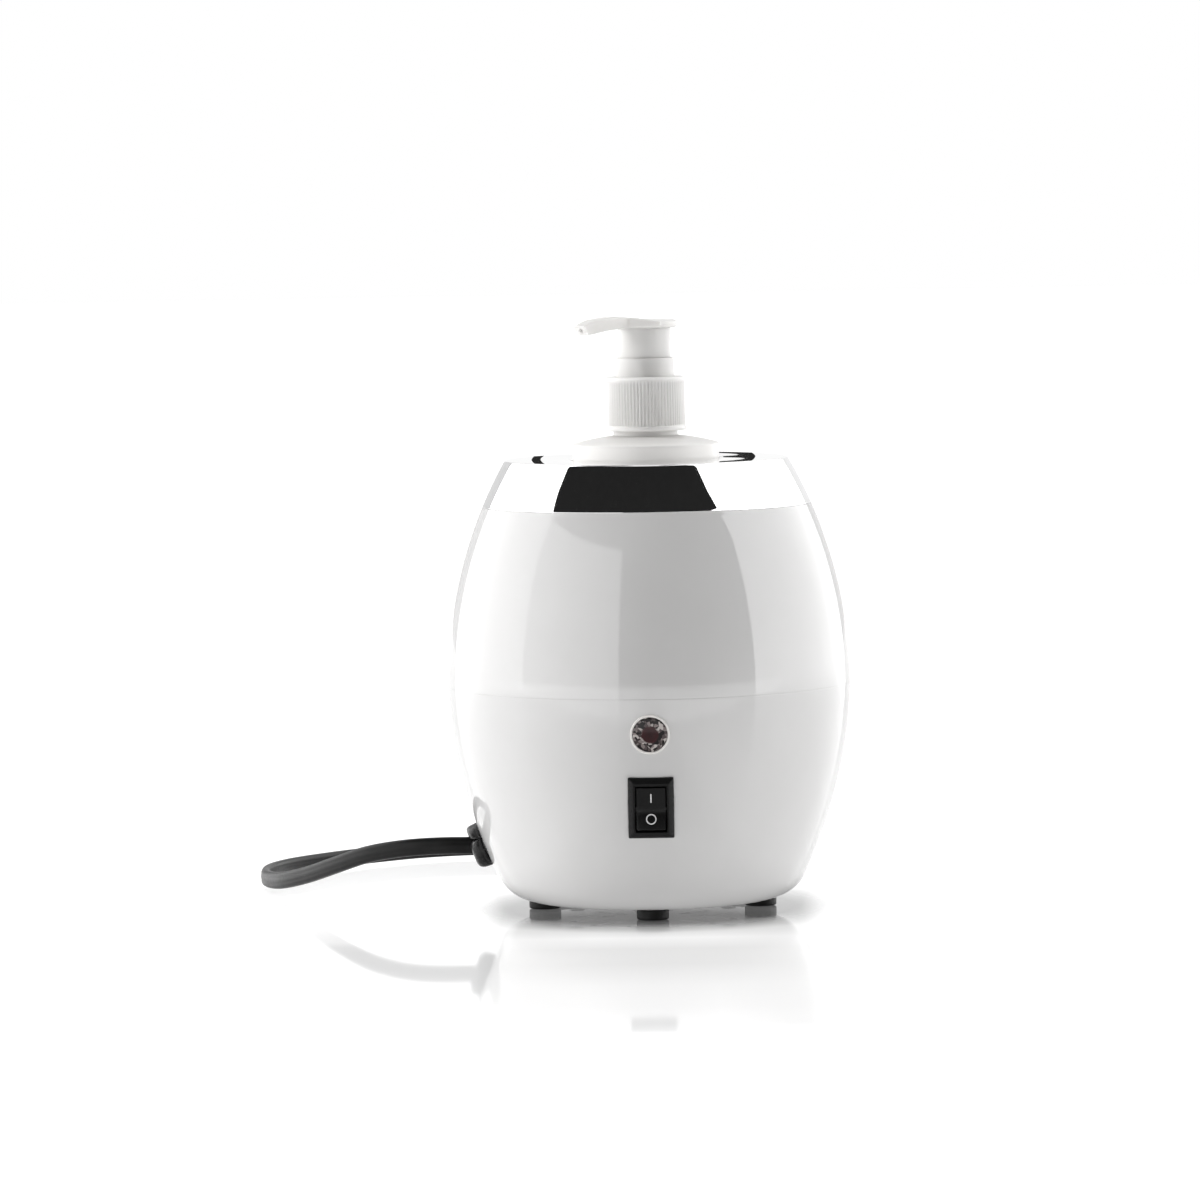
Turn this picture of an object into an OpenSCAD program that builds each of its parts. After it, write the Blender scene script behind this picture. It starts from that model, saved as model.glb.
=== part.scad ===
// Massage oil warmer: a barrel-shaped heater with a well for a pump bottle.
// Millimetres, +Z up, front towards -Y. The origin is on the floor, on the axis of the body.

/* [Body] */
// Radius of the body at the seam, its widest place
body_r = 67.5; // [64:0.5:74]
// Height of the seam between the two shells
seam_z = 75.5; // [72:0.5:80]
// Radius of the bulge above the seam
upper_curve_r = 151.4; // [140:0.2:170]
// Radius of the bulge below the seam
lower_curve_r = 165.3; // [150:0.1:190]
// Height of the lower bulge's centre above the seam
lower_apex_rise = 6.5; // [3:0.5:10]
// Radius of the rounded lower edge
corner_r = 13.5; // [10:0.5:16]
// Wall of the two shells
wall = 2.5; // [2:0.1:3.2]
// Depth of the lap joint at the seam
seam_lap = 3; // [2:0.5:5]
// Gap in the lap joint
lap_gap = 0.15; // [0.1:0.05:0.3]
// Radius of the screw posts inside
post_r = 3.7; // [3.4:0.1:3.8]
// Distance of the screw posts from the axis
post_ring_r = 36.3; // [36:0.1:36.4]
// Radius of the shell screws
screw_r = 1.4; // [1.2:0.1:1.7]
// Length of the shell screws
screw_len = 16; // [12:1:24]
// Radius of a screw's countersunk head
screw_head_r = 2.8; // [2.4:0.1:3.2]
// Length of a vent slot in the floor of the lower shell
vent_len = 9; // [6:0.5:11]
// Width of a vent slot
vent_w = 2; // [1.5:0.1:3]

/* [Feet] */
// Height of a foot below the body
foot_h = 3.4; // [2.6:0.1:5]
// Radius of a foot
foot_r = 5.35; // [4.5:0.05:6]
// Distance of the feet from the axis
foot_ring_r = 36.2; // [35:0.1:37]
// Radius of a foot's stem
foot_stem_r = 2.4; // [2:0.1:2.8]

/* [Chrome ring] */
// Height of the lower edge of the ring
ring_base_z = 135.5; // [132:0.5:138]
// Height of the flat top of the ring
ring_top_z = 150.9; // [148:0.1:152]
// Wall of the ring
ring_wall = 2; // [1.6:0.1:2.4]
// Radius of the ring's rounded upper edge
ring_edge_r = 0.8; // [0.5:0.1:1.2]
// Gap between the ring and the neck it sits on
ring_gap = 0.3; // [0.2:0.05:0.6]
// Gap between the bottle and the mouth of the ring
mouth_gap = 1.1; // [0.8:0.1:1.4]

/* [Well and heater] */
// Height of the floor that the bottle stands on
well_floor_z = 28.8; // [27.5:0.1:32]
// Gap between the bottle and the well
well_gap = 1.5; // [1.4:0.1:2]
// Sheet thickness of the well
well_wall = 1; // [0.8:0.1:1.4]
// Width of the well's flange
well_flange_w = 6; // [4:0.5:8]
// Height of the heater band
heater_h = 70; // [50:1:80]
// Thickness of the heater band
heater_t = 1.5; // [1:0.1:1.8]
// Height of the heater band's lower edge above the well's floor
heater_rise = 16; // [12:1:24]
// Thickness of the insulation
insulation_t = 2.8; // [2:0.1:2.9]
// Thickness of a heater strap
strap_t = 0.5; // [0.4:0.1:0.7]
// Width of a heater strap
strap_w = 7; // [5:0.5:10]
// Radius of the thermostat's cap
thermostat_r = 8; // [7.6:0.1:8.6]
// Height of the thermostat's moulded body
thermostat_h = 9; // [7:0.5:10]
// Radius of the thermal fuse
fuse_r = 2; // [1.6:0.1:2.4]

/* [Switch] */
// Height of the centre of the switch
switch_z = 39.5; // [37:0.5:42]
// Width of the switch frame
switch_w = 15; // [14:0.5:16]
// Height of the switch frame
switch_h = 21; // [20:0.5:22]
// Thickness of the switch frame
switch_t = 2.2; // [1.8:0.1:2.6]
// Width of the opening for the rocker
rocker_open_w = 10.4; // [10:0.1:10.8]
// Height of the opening for the rocker
rocker_open_h = 15.8; // [15.4:0.1:16.2]
// Depth of the switch body behind the frame
switch_depth = 14; // [13:0.5:16]
// Half the angle that the rocker tilts through
rocker_tilt = 11; // [8:0.5:12]
// Gap on each side of the rocker
rocker_gap = 0.5; // [0.4:0.05:0.7]
// Radius of the rocker's axle
axle_r = 1.2; // [1:0.1:1.4]

/* [Indicator lamp] */
// Height of the centre of the lamp
lamp_z = 64; // [62.5:0.5:65.5]
// Radius of the lamp's rim
lamp_rim_r = 6.5; // [6.2:0.1:6.9]
// Radius of the lamp's lens
lamp_lens_r = 5.75; // [5.4:0.05:5.9]
// Radius of the lamp's barrel
lamp_barrel_r = 4.9; // [4.7:0.1:5.1]
// Length of the lamp's barrel
lamp_len = 14; // [13.5:0.5:16]

/* [Cord] */
// Height of the bushing's centre on the shell
bushing_z = 22; // [20.5:0.5:23.5]
// Radius of the bushing's head
bushing_head_r = 7.5; // [7:0.1:8]
// Radius of the hole for the bushing
bushing_hole_r = 6.4; // [6.2:0.1:6.8]
// Height of the flat cord as it stands on edge
cord_w = 5.8; // [5.4:0.1:6]
// Thickness of the flat cord
cord_t = 3.6; // [3.2:0.1:3.8]
// Turns in each layer of the coil
coil_turns = 2.75; // [1.75:1:3.75]
// Radius of the coil's outer turn
coil_r = 37; // [36:0.5:44]
// Thickness of the plug
plug_t = 13.7; // [12:0.1:15]
// Length of the plug's pins
pin_len = 19; // [18:0.5:20]

/* [Bottle] */
// Radius of the bottle
bottle_r = 24.5; // [24:0.1:24.8]
// Wall of the bottle
bottle_wall = 1.1; // [0.9:0.1:1.4]
// Height of the top of the bottle's wall, where the shoulder begins
shoulder_z = 156; // [155:0.1:157]
// Rise of the shoulder from the wall to the neck
shoulder_rise = 2.6; // [2.2:0.1:3.2]
// Radius of the neck
neck_r = 10.75; // [10.5:0.05:11]
// Wall of the neck
neck_wall = 1.4; // [1.2:0.1:1.6]
// Radius of the neck's thread at its crest
thread_r = 11.9; // [11.7:0.05:12]
// Rise of the thread in one turn
thread_pitch = 3.175; // [3:0.025:3.4]

/* [Pump] */
// Radius of the ribbed collar over its ribs
collar_r = 13.4; // [13.3:0.05:13.8]
// Height of the collar
collar_h = 18.1; // [17.5:0.1:19]
// Thickness of the collar's top
collar_top_t = 1.5; // [1.2:0.1:1.8]
// Number of ribs round the collar
collar_ribs = 74; // [60:1:80]
// Radius of the chimney that guides the head
chimney_r = 9.8; // [9.7:0.05:10]
// Height of the chimney above the collar
chimney_h = 6.1; // [6:0.1:7]
// Radius of the pump cylinder's bore
cylinder_r = 5.4; // [5.3:0.05:5.6]
// Length of the pump cylinder below the neck's top
cylinder_len = 43; // [40:1:50]
// Wall of the pump housing
housing_wall = 1; // [0.8:0.1:1.2]
// Travel of the pump head
pump_stroke = 7.5; // [6:0.1:8.5]
// Radius of the head's skirt
skirt_r = 8.83; // [8.7:0.01:8.9]
// Radius of the thumb pad
pad_r = 11; // [10.6:0.1:11.6]
// Reach of the spout from the axis
spout_len = 28.2; // [26:0.1:30]
// Direction of the spout, turned from +X
spout_yaw = 220; // [0:1:359]
// Radius of the stem
stem_r = 3.2; // [3:0.05:3.4]
// Radius of the dip tube
dip_r = 2.5; // [2.3:0.05:2.7]
// Radius of the check ball
ball_r = 2.5; // [2.3:0.05:2.7]
// Turns of the pump spring
spring_turns = 8; // [6:1:10]

/* [Hidden] */
$fn = 64;

// Clearances: pieces that slide on one another, pieces that only lie close, flat seats
slide_gap = 0.05;
near_gap = 0.3;
seat_gap = 0.1;

// Body: the lower bulge's centre, the rounded edge's centre and the floor of the shell
lower_axis_z = seam_z + lower_apex_rise;
lower_axis_r = body_r - sqrt(pow(lower_curve_r, 2) - pow(lower_apex_rise, 2));
corner_z = foot_h + corner_r;
corner_axis_r = lower_axis_r
    + sqrt(pow(lower_curve_r - corner_r, 2) - pow(lower_axis_z - corner_z, 2));
corner_angle = atan2(corner_z - lower_axis_z, corner_axis_r - lower_axis_r);
floor_z = foot_h + wall;
lap_t = wall / 2;
post_z = corner_z + seat_gap
    - sqrt(pow(corner_r - wall, 2) - pow(post_ring_r + post_r - corner_axis_r, 2));
arc_steps = 16;
edge_steps = 8;

// Well, heater and the deck that carries them
plate_t = 1.6;
well_flange_t = 0.9;
well_r = bottle_r + well_gap;
well_out_r = well_r + well_wall;
deck_z = ring_top_z - plate_t - seat_gap - well_flange_t;
neck_inset = ring_wall + ring_gap;
mouth_r = bottle_r + mouth_gap;
heater_in_r = well_out_r + slide_gap;
heater_out_r = heater_in_r + heater_t;
strap_out_r = heater_out_r + slide_gap + strap_t;
sleeve_in_r = strap_out_r + near_gap;
sleeve_out_r = sleeve_in_r + insulation_t;
heater_z = well_floor_z + heater_rise;
sleeve_over = 2;
well_under_z = well_floor_z - well_wall;
cap_h = 4;
bracket_t = 0.8;
bracket_len = 32;
bracket_w = 20;
stud_r = 1.5;
stud_x = 13;
nut_h = 2.4;
cap_under_z = well_under_z - seat_gap - cap_h;
bracket_under_z = cap_under_z - bracket_t;
thermostat_under_z = cap_under_z - thermostat_h;
blade_t = 0.8;
blade_w = 4.8;
blade_len = 6;
blade_x = 5;
fuse_y = 16;
fuse_len = 11;
fuse_lead_r = 0.5;
fuse_end_x = 14.5;
fuse_z = well_under_z - near_gap - fuse_r;
clip_w = 6;

// Switch and lamp, each in a frame of its own on the front of the shell
switch_seat = 0.75;
cutout_gap = 0.1;
switch_body_w = switch_w - 2.2;
switch_body_h = switch_h - 2;
frame_bevel = 1.7;
pivot_z = 0.4;
rocker_w = rocker_open_w - 2 * rocker_gap;
rocker_half = rocker_open_h / 2 - 0.9;
rocker_mid_z = 1.7;
switch_blade_x = 3.6;
switch_blade_len = 8;
lamp_seat = 0.35;
lamp_face = 0.45;
lamp_bore_r = lamp_barrel_r - 0.9;
lamp_wire_x = 1.3;
thin_wire_r = 0.6;
wire_r = 0.9;
wire_sides = 8;

// Terminal block on the floor of the lower shell
block_x = 33.5 - body_r;
block_l = 11;
block_y = 5;
block_w = 16;
block_h = 12;
block_pole = 4;
block_wire_z = floor_z + 6;
near_pole = block_y + block_pole;
far_pole = block_y + block_w - block_pole;
block_end_x = block_x + block_l;

// Run of the wires past the well to the switch
run_r = sleeve_out_r;
run_x = 0.25 * run_r;
run_y = 1.15 * run_r;
run_low = 0.175 * seam_z;
run_high = 0.32 * seam_z;

// Ends of the wires: cores at the cord, leads under the heater, thermostat and switch blades
core_z = cord_w / 4;
core_x = 21.3 - body_r;
heater_lead_r = well_out_r + wire_r + seat_gap;
heater_lead_x = 6;
heater_lead_y = sqrt(pow(heater_lead_r, 2) - pow(heater_lead_x, 2));
blade_z = thermostat_under_z - blade_len / 2;
blade_y = blade_w / 2 + seat_gap;
switch_wire_z = -switch_seat - switch_depth - switch_blade_len - 2 * near_gap;

// Cord: height at the bushing, points of its route, and the coil behind the body
cord_exit_z = bushing_z - 0.5;
cord_in_x = -47;
bushing_tilt = asin((lower_axis_z - bushing_z) / lower_curve_r);
tie_t = 0.5;
tie_w = 5;
turn_gap = 0.6;
coil_pitch = cord_t + turn_gap;
coil_rise = cord_w + turn_gap;
coil_y = 108;
coil_z = tie_t + near_gap + cord_w / 2;
coil_top_z = coil_z + coil_rise;
loop_rings = 24;
coil_half = coil_turns + 0.25;
coil_rings = round(2 * coil_half * loop_rings);
plug_x = 33;
plug_y = 176;
plug_len = 38;
lead_route = [[cord_in_x, 0, cord_exit_z], [-60, 0, cord_exit_z], [-72, 0, cord_exit_z],
    [-84, 2, 20.6], [-96, 9, 18], [-107, 20, 13.5], [-118, 35, 8.5], [-128, 52, 4.8],
    [-134, 70, 3.7], [-134, 88, 3.7], [-128, 105, 3.7], [-116, 122, 3.7], [-101, 138, 3.7],
    [-84, 152, 3.7], [-66, 159, 3.7], [-47, 159, coil_z], [-30, coil_y + coil_r + 7, coil_z],
    [-16, coil_y + coil_r + 1.5, coil_z], [-cord_w - near_gap, coil_y + coil_r, coil_z]];
tail_route = [[cord_w + near_gap, coil_y + coil_r, coil_top_z], [12, coil_y + coil_r, coil_top_z],
    [20, coil_y + coil_r + 2.5, 9], [27.5, 154, 7.8], [32, 163, plug_t / 2],
    [plug_x, 171, plug_t / 2], [plug_x, plug_y - near_gap, plug_t / 2]];

// Bottle and pump, stacked from the floor of the well
bottle_z = well_floor_z + seat_gap;
bottle_edge_r = 3;
neck_z = shoulder_z + shoulder_rise;
collar_z = neck_z + 1.7;
collar_top_z = collar_z + collar_h;
collar_in_r = thread_r + near_gap;
flange_t = 1.6;
gasket_t = 1;
flange_top_z = collar_top_z - collar_top_t - seat_gap;
flange_z = flange_top_z - flange_t;
gasket_z = flange_z - gasket_t;
neck_top_z = gasket_z - slide_gap;
chimney_top_z = collar_top_z + chimney_h;
chimney_in_r = skirt_r + near_gap;
chimney_floor_t = 0.8;
stem_hole_r = stem_r + 0.2;
cylinder_z = flange_z - cylinder_len;
cage_h = 7;
cage_r = ball_r + 0.9;
seat_r = ball_r * 0.6;
seat_z = cylinder_z - cage_h;
socket_len = 8;
tail_z = seat_z - 2.5 - socket_len;
tail_r = dip_r + slide_gap + housing_wall;
ball_z = seat_z - seat_r + ball_r * sqrt(2) + slide_gap;
piston_h = 6;
piston_top_z = flange_z - 0.2;
piston_z = piston_top_z - piston_h;
stem_bottom_z = piston_z - 2;
stem_bore_r = stem_r - 1.5;
spring_wire_r = 0.45;
spring_r = cylinder_r - 1;
spring_rings = 8;
skirt_engage = 0.5;
head_rise = pump_stroke + 2.4;
head_z = chimney_top_z + head_rise;
head_roof = 0.5;
stem_top_z = head_z - 0.4;
socket_r = stem_r + slide_gap;
boss_r = stem_r + 1.2;
thread_start_z = collar_z + 4.1;
thread_turns = 1.5;
thread_root_w = 1.2;
thread_crest_w = 0.8;
thread_sink = 0.4;
thread_steps = 24;

// Radius of the outside of each bulge at a height, moved in by an inset
function lower_r(z, inset = 0) =
    lower_axis_r + sqrt(pow(lower_curve_r - inset, 2) - pow(lower_axis_z - z, 2));
function upper_r(z, inset = 0) =
    body_r - upper_curve_r + sqrt(pow(upper_curve_r - inset, 2) - pow(z - seam_z, 2));
function lower_angle(z, inset = 0) = asin((z - lower_axis_z) / (lower_curve_r - inset));
function upper_angle(z, inset = 0) = asin((z - seam_z) / (upper_curve_r - inset));

// Points on an arc about a centre, and on the two bulges between two heights
function arc(c, r, a0, a1, n) =
    [for (i = [0:n]) let (a = a0 + (a1 - a0) * i / n) [c[0] + r * cos(a), c[1] + r * sin(a)]];
function lower_arc(inset, a0, a1) =
    arc([lower_axis_r, lower_axis_z], lower_curve_r - inset, a0, a1, arc_steps);
function corner_arc(inset, a0, a1) =
    arc([corner_axis_r, corner_z], corner_r - inset, a0, a1, edge_steps);
function upper_arc(inset, z0, z1) =
    arc([body_r - upper_curve_r, seam_z], upper_curve_r - inset,
        upper_angle(z0, inset), upper_angle(z1, inset), arc_steps);

// A smooth curve through points, with some steps between each pair
function between(a, b, c, d, t) =
    0.5 * (2 * b + (c - a) * t + (2 * a - 5 * b + 4 * c - d) * t * t
        + (3 * b - a - 3 * c + d) * t * t * t);
function smooth(p, steps) = concat(
    [for (i = [0:len(p) - 2]) for (j = [0:steps - 1])
        between(p[max(i - 1, 0)], p[i], p[i + 1], p[min(i + 2, len(p) - 1)], j / steps)],
    [p[len(p) - 1]]);

// Unit vector, direction of a path at one point, and the part of a vector square to a direction
function unit(v) = v / norm(v);
function heading(p, i) = unit(p[min(i + 1, len(p) - 1)] - p[max(i - 1, 0)]);
function square_to(v, t) = unit(v - (v * t) * t);

// Upright directions: one for all points, or carried along a path that turns steeply
function uprights(p, up) = [for (i = [0:len(p) - 1]) square_to(up, heading(p, i))];
function carried(p, up, i = 0) = i == len(p) ? []
    : let (u = square_to(up, heading(p, i))) concat([u], carried(p, u, i + 1));

// Rings of a section along a path, and an oval section with a number of sides
function rings(p, ups, section) = [for (i = [0:len(p) - 1])
    let (t = heading(p, i), side = cross(t, ups[i]))
    for (s = section) p[i] + side * s[0] + ups[i] * s[1]];
function oval(w, h, sides) =
    [for (i = [0:sides - 1]) let (a = 360 * i / sides + 90) [w / 2 * cos(a), h / 2 * sin(a)]];

// A closed skin over rings of points, with a flat cap at each end
module skin(points, sides) {
    last = len(points) / sides - 1;
    faces = concat(
        [[for (j = [sides - 1:-1:0]) j]],
        [for (i = [0:last - 1]) for (j = [0:sides - 1]) let (k = (j + 1) % sides)
            [i * sides + j, i * sides + k, (i + 1) * sides + k]],
        [for (i = [0:last - 1]) for (j = [0:sides - 1]) let (k = (j + 1) % sides)
            [i * sides + j, (i + 1) * sides + k, (i + 1) * sides + j]],
        [[for (j = [0:sides - 1]) last * sides + j]]);
    polyhedron(points, faces, convexity = 10);
}

// A round wire along hand-set points
module wire(route, r = wire_r, up = [0, 0, 1]) {
    path = smooth(route, 3);
    skin(rings(path, carried(path, up), oval(2 * r, 2 * r, wire_sides)), wire_sides);
}

// Places a piece on the front of the lower shell: local +Z points out, +Y up along the shell
module on_front(z, depth = 0) {
    tilt = -lower_angle(z);
    translate([0, -lower_r(z), z]) rotate([90 + tilt, 0, 0]) translate([0, 0, -depth]) children();
}
function front_point(z, p) = let (tilt = -lower_angle(z))
    [p[0], -lower_r(z) - p[1] * sin(tilt) - p[2] * cos(tilt),
        z + p[1] * cos(tilt) - p[2] * sin(tilt)];

// Places a piece on the left of the lower shell, at the bushing: +Z out, +X up along the shell
module on_left() {
    translate([-lower_r(bushing_z), 0, bushing_z]) rotate([0, -90 - bushing_tilt, 0]) children();
}

// Copies a piece at equal angles round the axis
module around(count, first, r) {
    for (i = [0:count - 1]) rotate([0, 0, first + 360 * i / count]) translate([r, 0, 0]) children();
}

// A block with mitred sloping sides
module mitred(w, h, t, bevel) {
    intersection() {
        translate([0, h / 2, 0]) rotate([90, 0, 0]) linear_extrude(h)
            polygon([[-w / 2, 0], [w / 2, 0], [w / 2, t * 0.35], [w / 2 - bevel, t],
                [bevel - w / 2, t], [-w / 2, t * 0.35]]);
        translate([-w / 2, 0, 0]) rotate([90, 0, 90]) linear_extrude(w)
            polygon([[-h / 2, 0], [h / 2, 0], [h / 2, t * 0.35], [h / 2 - bevel, t],
                [bevel - h / 2, t], [-h / 2, t * 0.35]]);
    }
}
module block(x, y, z) {
    translate([-x / 2, -y / 2, 0]) cube([x, y, z]);
}
module tube(r_out, r_in, h) {
    difference() {
        cylinder(r = r_out, h = h);
        translate([0, 0, -1]) cylinder(r = r_in, h = h + 2);
    }
}

// Casing
module upper_shell() {
    lap_z = seam_z - seam_lap + lap_gap;
    under_z = deck_z - wall;
    hole_r = well_out_r + near_gap;
    neck_in = neck_inset + wall;
    step_z = ring_base_z - 2 * wall;
    outline = concat(
        [[body_r - wall, lap_z], [body_r - lap_t - lap_gap, lap_z],
            [body_r - lap_t - lap_gap, seam_z]],
        upper_arc(0, seam_z, ring_base_z),
        upper_arc(neck_inset, ring_base_z, deck_z),
        [[hole_r, deck_z], [hole_r, under_z]],
        upper_arc(neck_in, under_z, step_z),
        upper_arc(wall, step_z - wall, seam_z));
    color("white") difference() {
        union() {
            rotate_extrude() polygon(outline);
            around(4, 45, post_ring_r)
                translate([0, 0, post_z]) cylinder(r = post_r, h = under_z - post_z + 0.5);
            around(4, 45, post_ring_r)
                translate([0, -wall / 2, step_z - 20])
                    cube([upper_r(step_z, wall / 2) - post_ring_r, wall, 20]);
        }
        around(4, 45, post_ring_r)
            translate([0, 0, floor_z - 1]) cylinder(r = screw_r + slide_gap, h = screw_len + 2);
    }
}
module lower_shell() {
    seam_angle = lower_angle(seam_z);
    lap_z = seam_z - seam_lap;
    outline = concat(
        [[0, foot_h]],
        corner_arc(0, -90, corner_angle),
        lower_arc(0, corner_angle, seam_angle),
        [[body_r - lap_t, seam_z], [body_r - lap_t, lap_z]],
        lower_arc(wall, lower_angle(lap_z, wall), corner_angle),
        corner_arc(wall, corner_angle, -90),
        [[0, floor_z]]);
    color("white") difference() {
        rotate_extrude() polygon(outline);
        on_front(switch_z) {
            translate([0, 0, -switch_seat]) block(switch_w + 2 * cutout_gap,
                switch_h + 2 * cutout_gap, 4);
            translate([0, 0, -4 * wall]) block(switch_body_w + 2 * cutout_gap,
                switch_body_h + 2 * cutout_gap, 6 * wall);
        }
        on_front(lamp_z) {
            translate([0, 0, -lamp_seat]) cylinder(r = lamp_rim_r + cutout_gap, h = 4);
            translate([0, 0, -4 * wall]) cylinder(r = lamp_barrel_r + cutout_gap, h = 6 * wall);
        }
        on_left() translate([0, 0, -4 * wall]) cylinder(r = bushing_hole_r, h = 8 * wall);
        around(4, 0, foot_ring_r) cylinder(r = foot_stem_r + slide_gap, h = 2 * floor_z);
        around(4, 45, post_ring_r) screw_cut();
        around(12, 15, (foot_ring_r + thermostat_r) / 2)
            translate([-vent_len / 2, -vent_w / 2, 0]) cube([vent_len, vent_w, 2 * floor_z]);
    }
}
// The room that a shell screw takes in the floor of the lower shell
module screw_cut() {
    cut_r = screw_r + 2 * slide_gap;
    cut_head_r = screw_head_r + 2 * slide_gap;
    rotate_extrude() polygon([[0, foot_h - 1], [cut_head_r, foot_h - 1], [cut_head_r, foot_h],
        [cut_r, foot_h + screw_head_r - screw_r], [cut_r, 2 * floor_z], [0, 2 * floor_z]]);
}
module shell_screws() {
    color("silver") around(4, 45, post_ring_r) translate([0, 0, foot_h]) difference() {
        rotate_extrude() polygon([[0, 0], [screw_head_r, 0], [screw_r, screw_head_r - screw_r],
            [screw_r, screw_len], [0, screw_len]]);
        for (a = [0, 90]) rotate([0, 0, a]) translate([0, 0, -0.1]) block(2.4, 0.6, 0.9);
    }
}
module rubber_feet() {
    edge = foot_h / 5;
    color("black") around(4, 0, foot_ring_r) rotate_extrude() polygon([
        [0, 0], [foot_r - edge, 0], [foot_r, edge], [foot_r, foot_h - seat_gap],
        [foot_stem_r, foot_h - seat_gap], [foot_stem_r, floor_z + seat_gap],
        [foot_stem_r + 0.7, floor_z + seat_gap], [foot_stem_r, floor_z + 1.6], [0, floor_z + 1.6]]);
}
module chrome_ring() {
    lean = upper_angle(ring_top_z - ring_edge_r / 2);
    rim_z = ring_top_z - ring_edge_r * (1 - sin(lean));
    under_z = ring_top_z - plate_t;
    lip = plate_t / 4;
    foot_z = ring_base_z + seat_gap;
    outline = concat(
        upper_arc(0, foot_z, rim_z),
        arc([upper_r(rim_z) - ring_edge_r * cos(lean), ring_top_z - ring_edge_r], ring_edge_r,
            lean + 10, 90, edge_steps),
        [[mouth_r + lip, ring_top_z], [mouth_r, ring_top_z - lip], [mouth_r, under_z + lip],
            [mouth_r + lip, under_z]],
        upper_arc(ring_wall, under_z, foot_z));
    color("gainsboro") rotate_extrude() polygon(outline);
}

// Well and heater
module well_cup() {
    flange_r = well_out_r + well_flange_w;
    edge = 2;
    color("silver") union() {
        rotate_extrude() polygon([[0, well_under_z], [well_out_r - edge, well_under_z],
            [well_out_r, well_under_z + edge], [well_out_r, deck_z], [flange_r, deck_z],
            [flange_r, deck_z + well_flange_t], [well_r, deck_z + well_flange_t],
            [well_r, well_floor_z + edge], [well_r - edge, well_floor_z], [0, well_floor_z]]);
        for (x = [-stud_x, stud_x]) translate([x, 0, bracket_under_z - nut_h - 1])
            cylinder(r = stud_r, h = well_under_z - bracket_under_z + nut_h + 1.5);
    }
}
module heater_band() {
    slit = 5;
    color("orangered") translate([0, 0, heater_z]) difference() {
        tube(heater_out_r, heater_in_r, heater_h);
        translate([0, -heater_out_r, -1]) block(slit, well_wall * 8, heater_h + 2);
    }
}
module heater_straps() {
    slit = 2;
    color("silver") for (z = [heater_z + strap_w, heater_z + heater_h - 2 * strap_w])
        translate([0, 0, z]) difference() {
            tube(strap_out_r, heater_out_r + slide_gap, strap_w);
            rotate([0, 0, 90]) translate([0, -heater_out_r, -1]) block(slit, 6, strap_w + 2);
        }
}
module insulation_sleeve() {
    color("lightyellow") translate([0, 0, heater_z - sleeve_over])
        tube(sleeve_out_r, sleeve_in_r, heater_h + 2 * sleeve_over);
}
module thermostat_cap() {
    color("gainsboro") translate([0, 0, cap_under_z]) cylinder(r = thermostat_r, h = cap_h);
}
module thermostat_body() {
    color("saddlebrown") translate([0, 0, thermostat_under_z])
        cylinder(r = thermostat_r - 0.6, h = thermostat_h);
}
module thermostat_bracket() {
    color("silver") translate([0, 0, bracket_under_z]) difference() {
        block(bracket_len, bracket_w, bracket_t);
        translate([0, 0, -1]) cylinder(r = thermostat_r - 0.6 + slide_gap, h = bracket_t + 2);
        for (x = [-stud_x, stud_x]) translate([x, 0, -1])
            cylinder(r = stud_r + slide_gap, h = bracket_t + 2);
    }
}
module bracket_nuts() {
    nut_r = stud_r * 2;
    color("silver") for (x = [-stud_x, stud_x]) translate([x, 0, bracket_under_z - nut_h])
        difference() {
            cylinder(r = nut_r, h = nut_h, $fn = 6);
            translate([0, 0, -1]) cylinder(r = stud_r + slide_gap, h = nut_h + 2);
        }
}
module thermostat_terminals() {
    color("gold") for (x = [-blade_x, blade_x]) translate([x, 0, thermostat_under_z - blade_len])
        block(blade_t, blade_w, blade_len);
}
module thermal_fuse() {
    color("gainsboro") translate([0, fuse_y, fuse_z]) rotate([0, 90, 0]) {
        cylinder(r = fuse_r, h = fuse_len, center = true);
        cylinder(r = fuse_lead_r, h = 2 * fuse_end_x, center = true);
    }
}
module fuse_clip() {
    clip_h = 2 * fuse_r + near_gap + 1;
    color("silver") difference() {
        translate([0, fuse_y, well_under_z - clip_h]) block(clip_w, 2 * fuse_r + 2, clip_h);
        translate([0, fuse_y, fuse_z]) rotate([0, 90, 0])
            cylinder(r = fuse_r + slide_gap, h = 2 * clip_w, center = true);
    }
}

// Switch, in the frame of its seat on the shell
module switch_frame() {
    hole = axle_r + slide_gap;
    wing_z = wall - switch_seat + 0.7;
    color("black") on_front(switch_z, switch_seat) difference() {
        union() {
            mitred(switch_w, switch_h, switch_t, frame_bevel);
            translate([0, 0, -switch_depth])
                block(switch_body_w, switch_body_h, switch_depth + 0.2);
            translate([0, 0, -wing_z - 2]) block(switch_body_w / 2, switch_body_h + 1.6, 2);
        }
        translate([0, 0, -switch_depth * 0.7])
            block(rocker_open_w, rocker_open_h, switch_depth + switch_t);
        translate([0, 0, pivot_z]) rotate([0, 90, 0])
            cylinder(r = hole, h = rocker_open_w + 1.8, center = true);
    }
}
module rocker() {
    end_z = rocker_mid_z + rocker_half * tan(rocker_tilt);
    back_z = -3.4;
    color("black") on_front(switch_z, switch_seat) translate([0, 0, pivot_z])
        rotate([-rocker_tilt, 0, 0]) translate([0, 0, -pivot_z]) union() {
            translate([-rocker_w / 2, 0, 0]) rotate([90, 0, 90]) linear_extrude(rocker_w)
                polygon([[0, rocker_mid_z], [-rocker_half, end_z], [-rocker_half, 0],
                    [-rocker_half / 2, back_z], [rocker_half / 2, back_z], [rocker_half, 0],
                    [rocker_half, end_z]]);
            translate([0, 0, pivot_z]) rotate([0, 90, 0])
                cylinder(r = axle_r, h = rocker_open_w + 1.5, center = true);
        }
}
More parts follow.
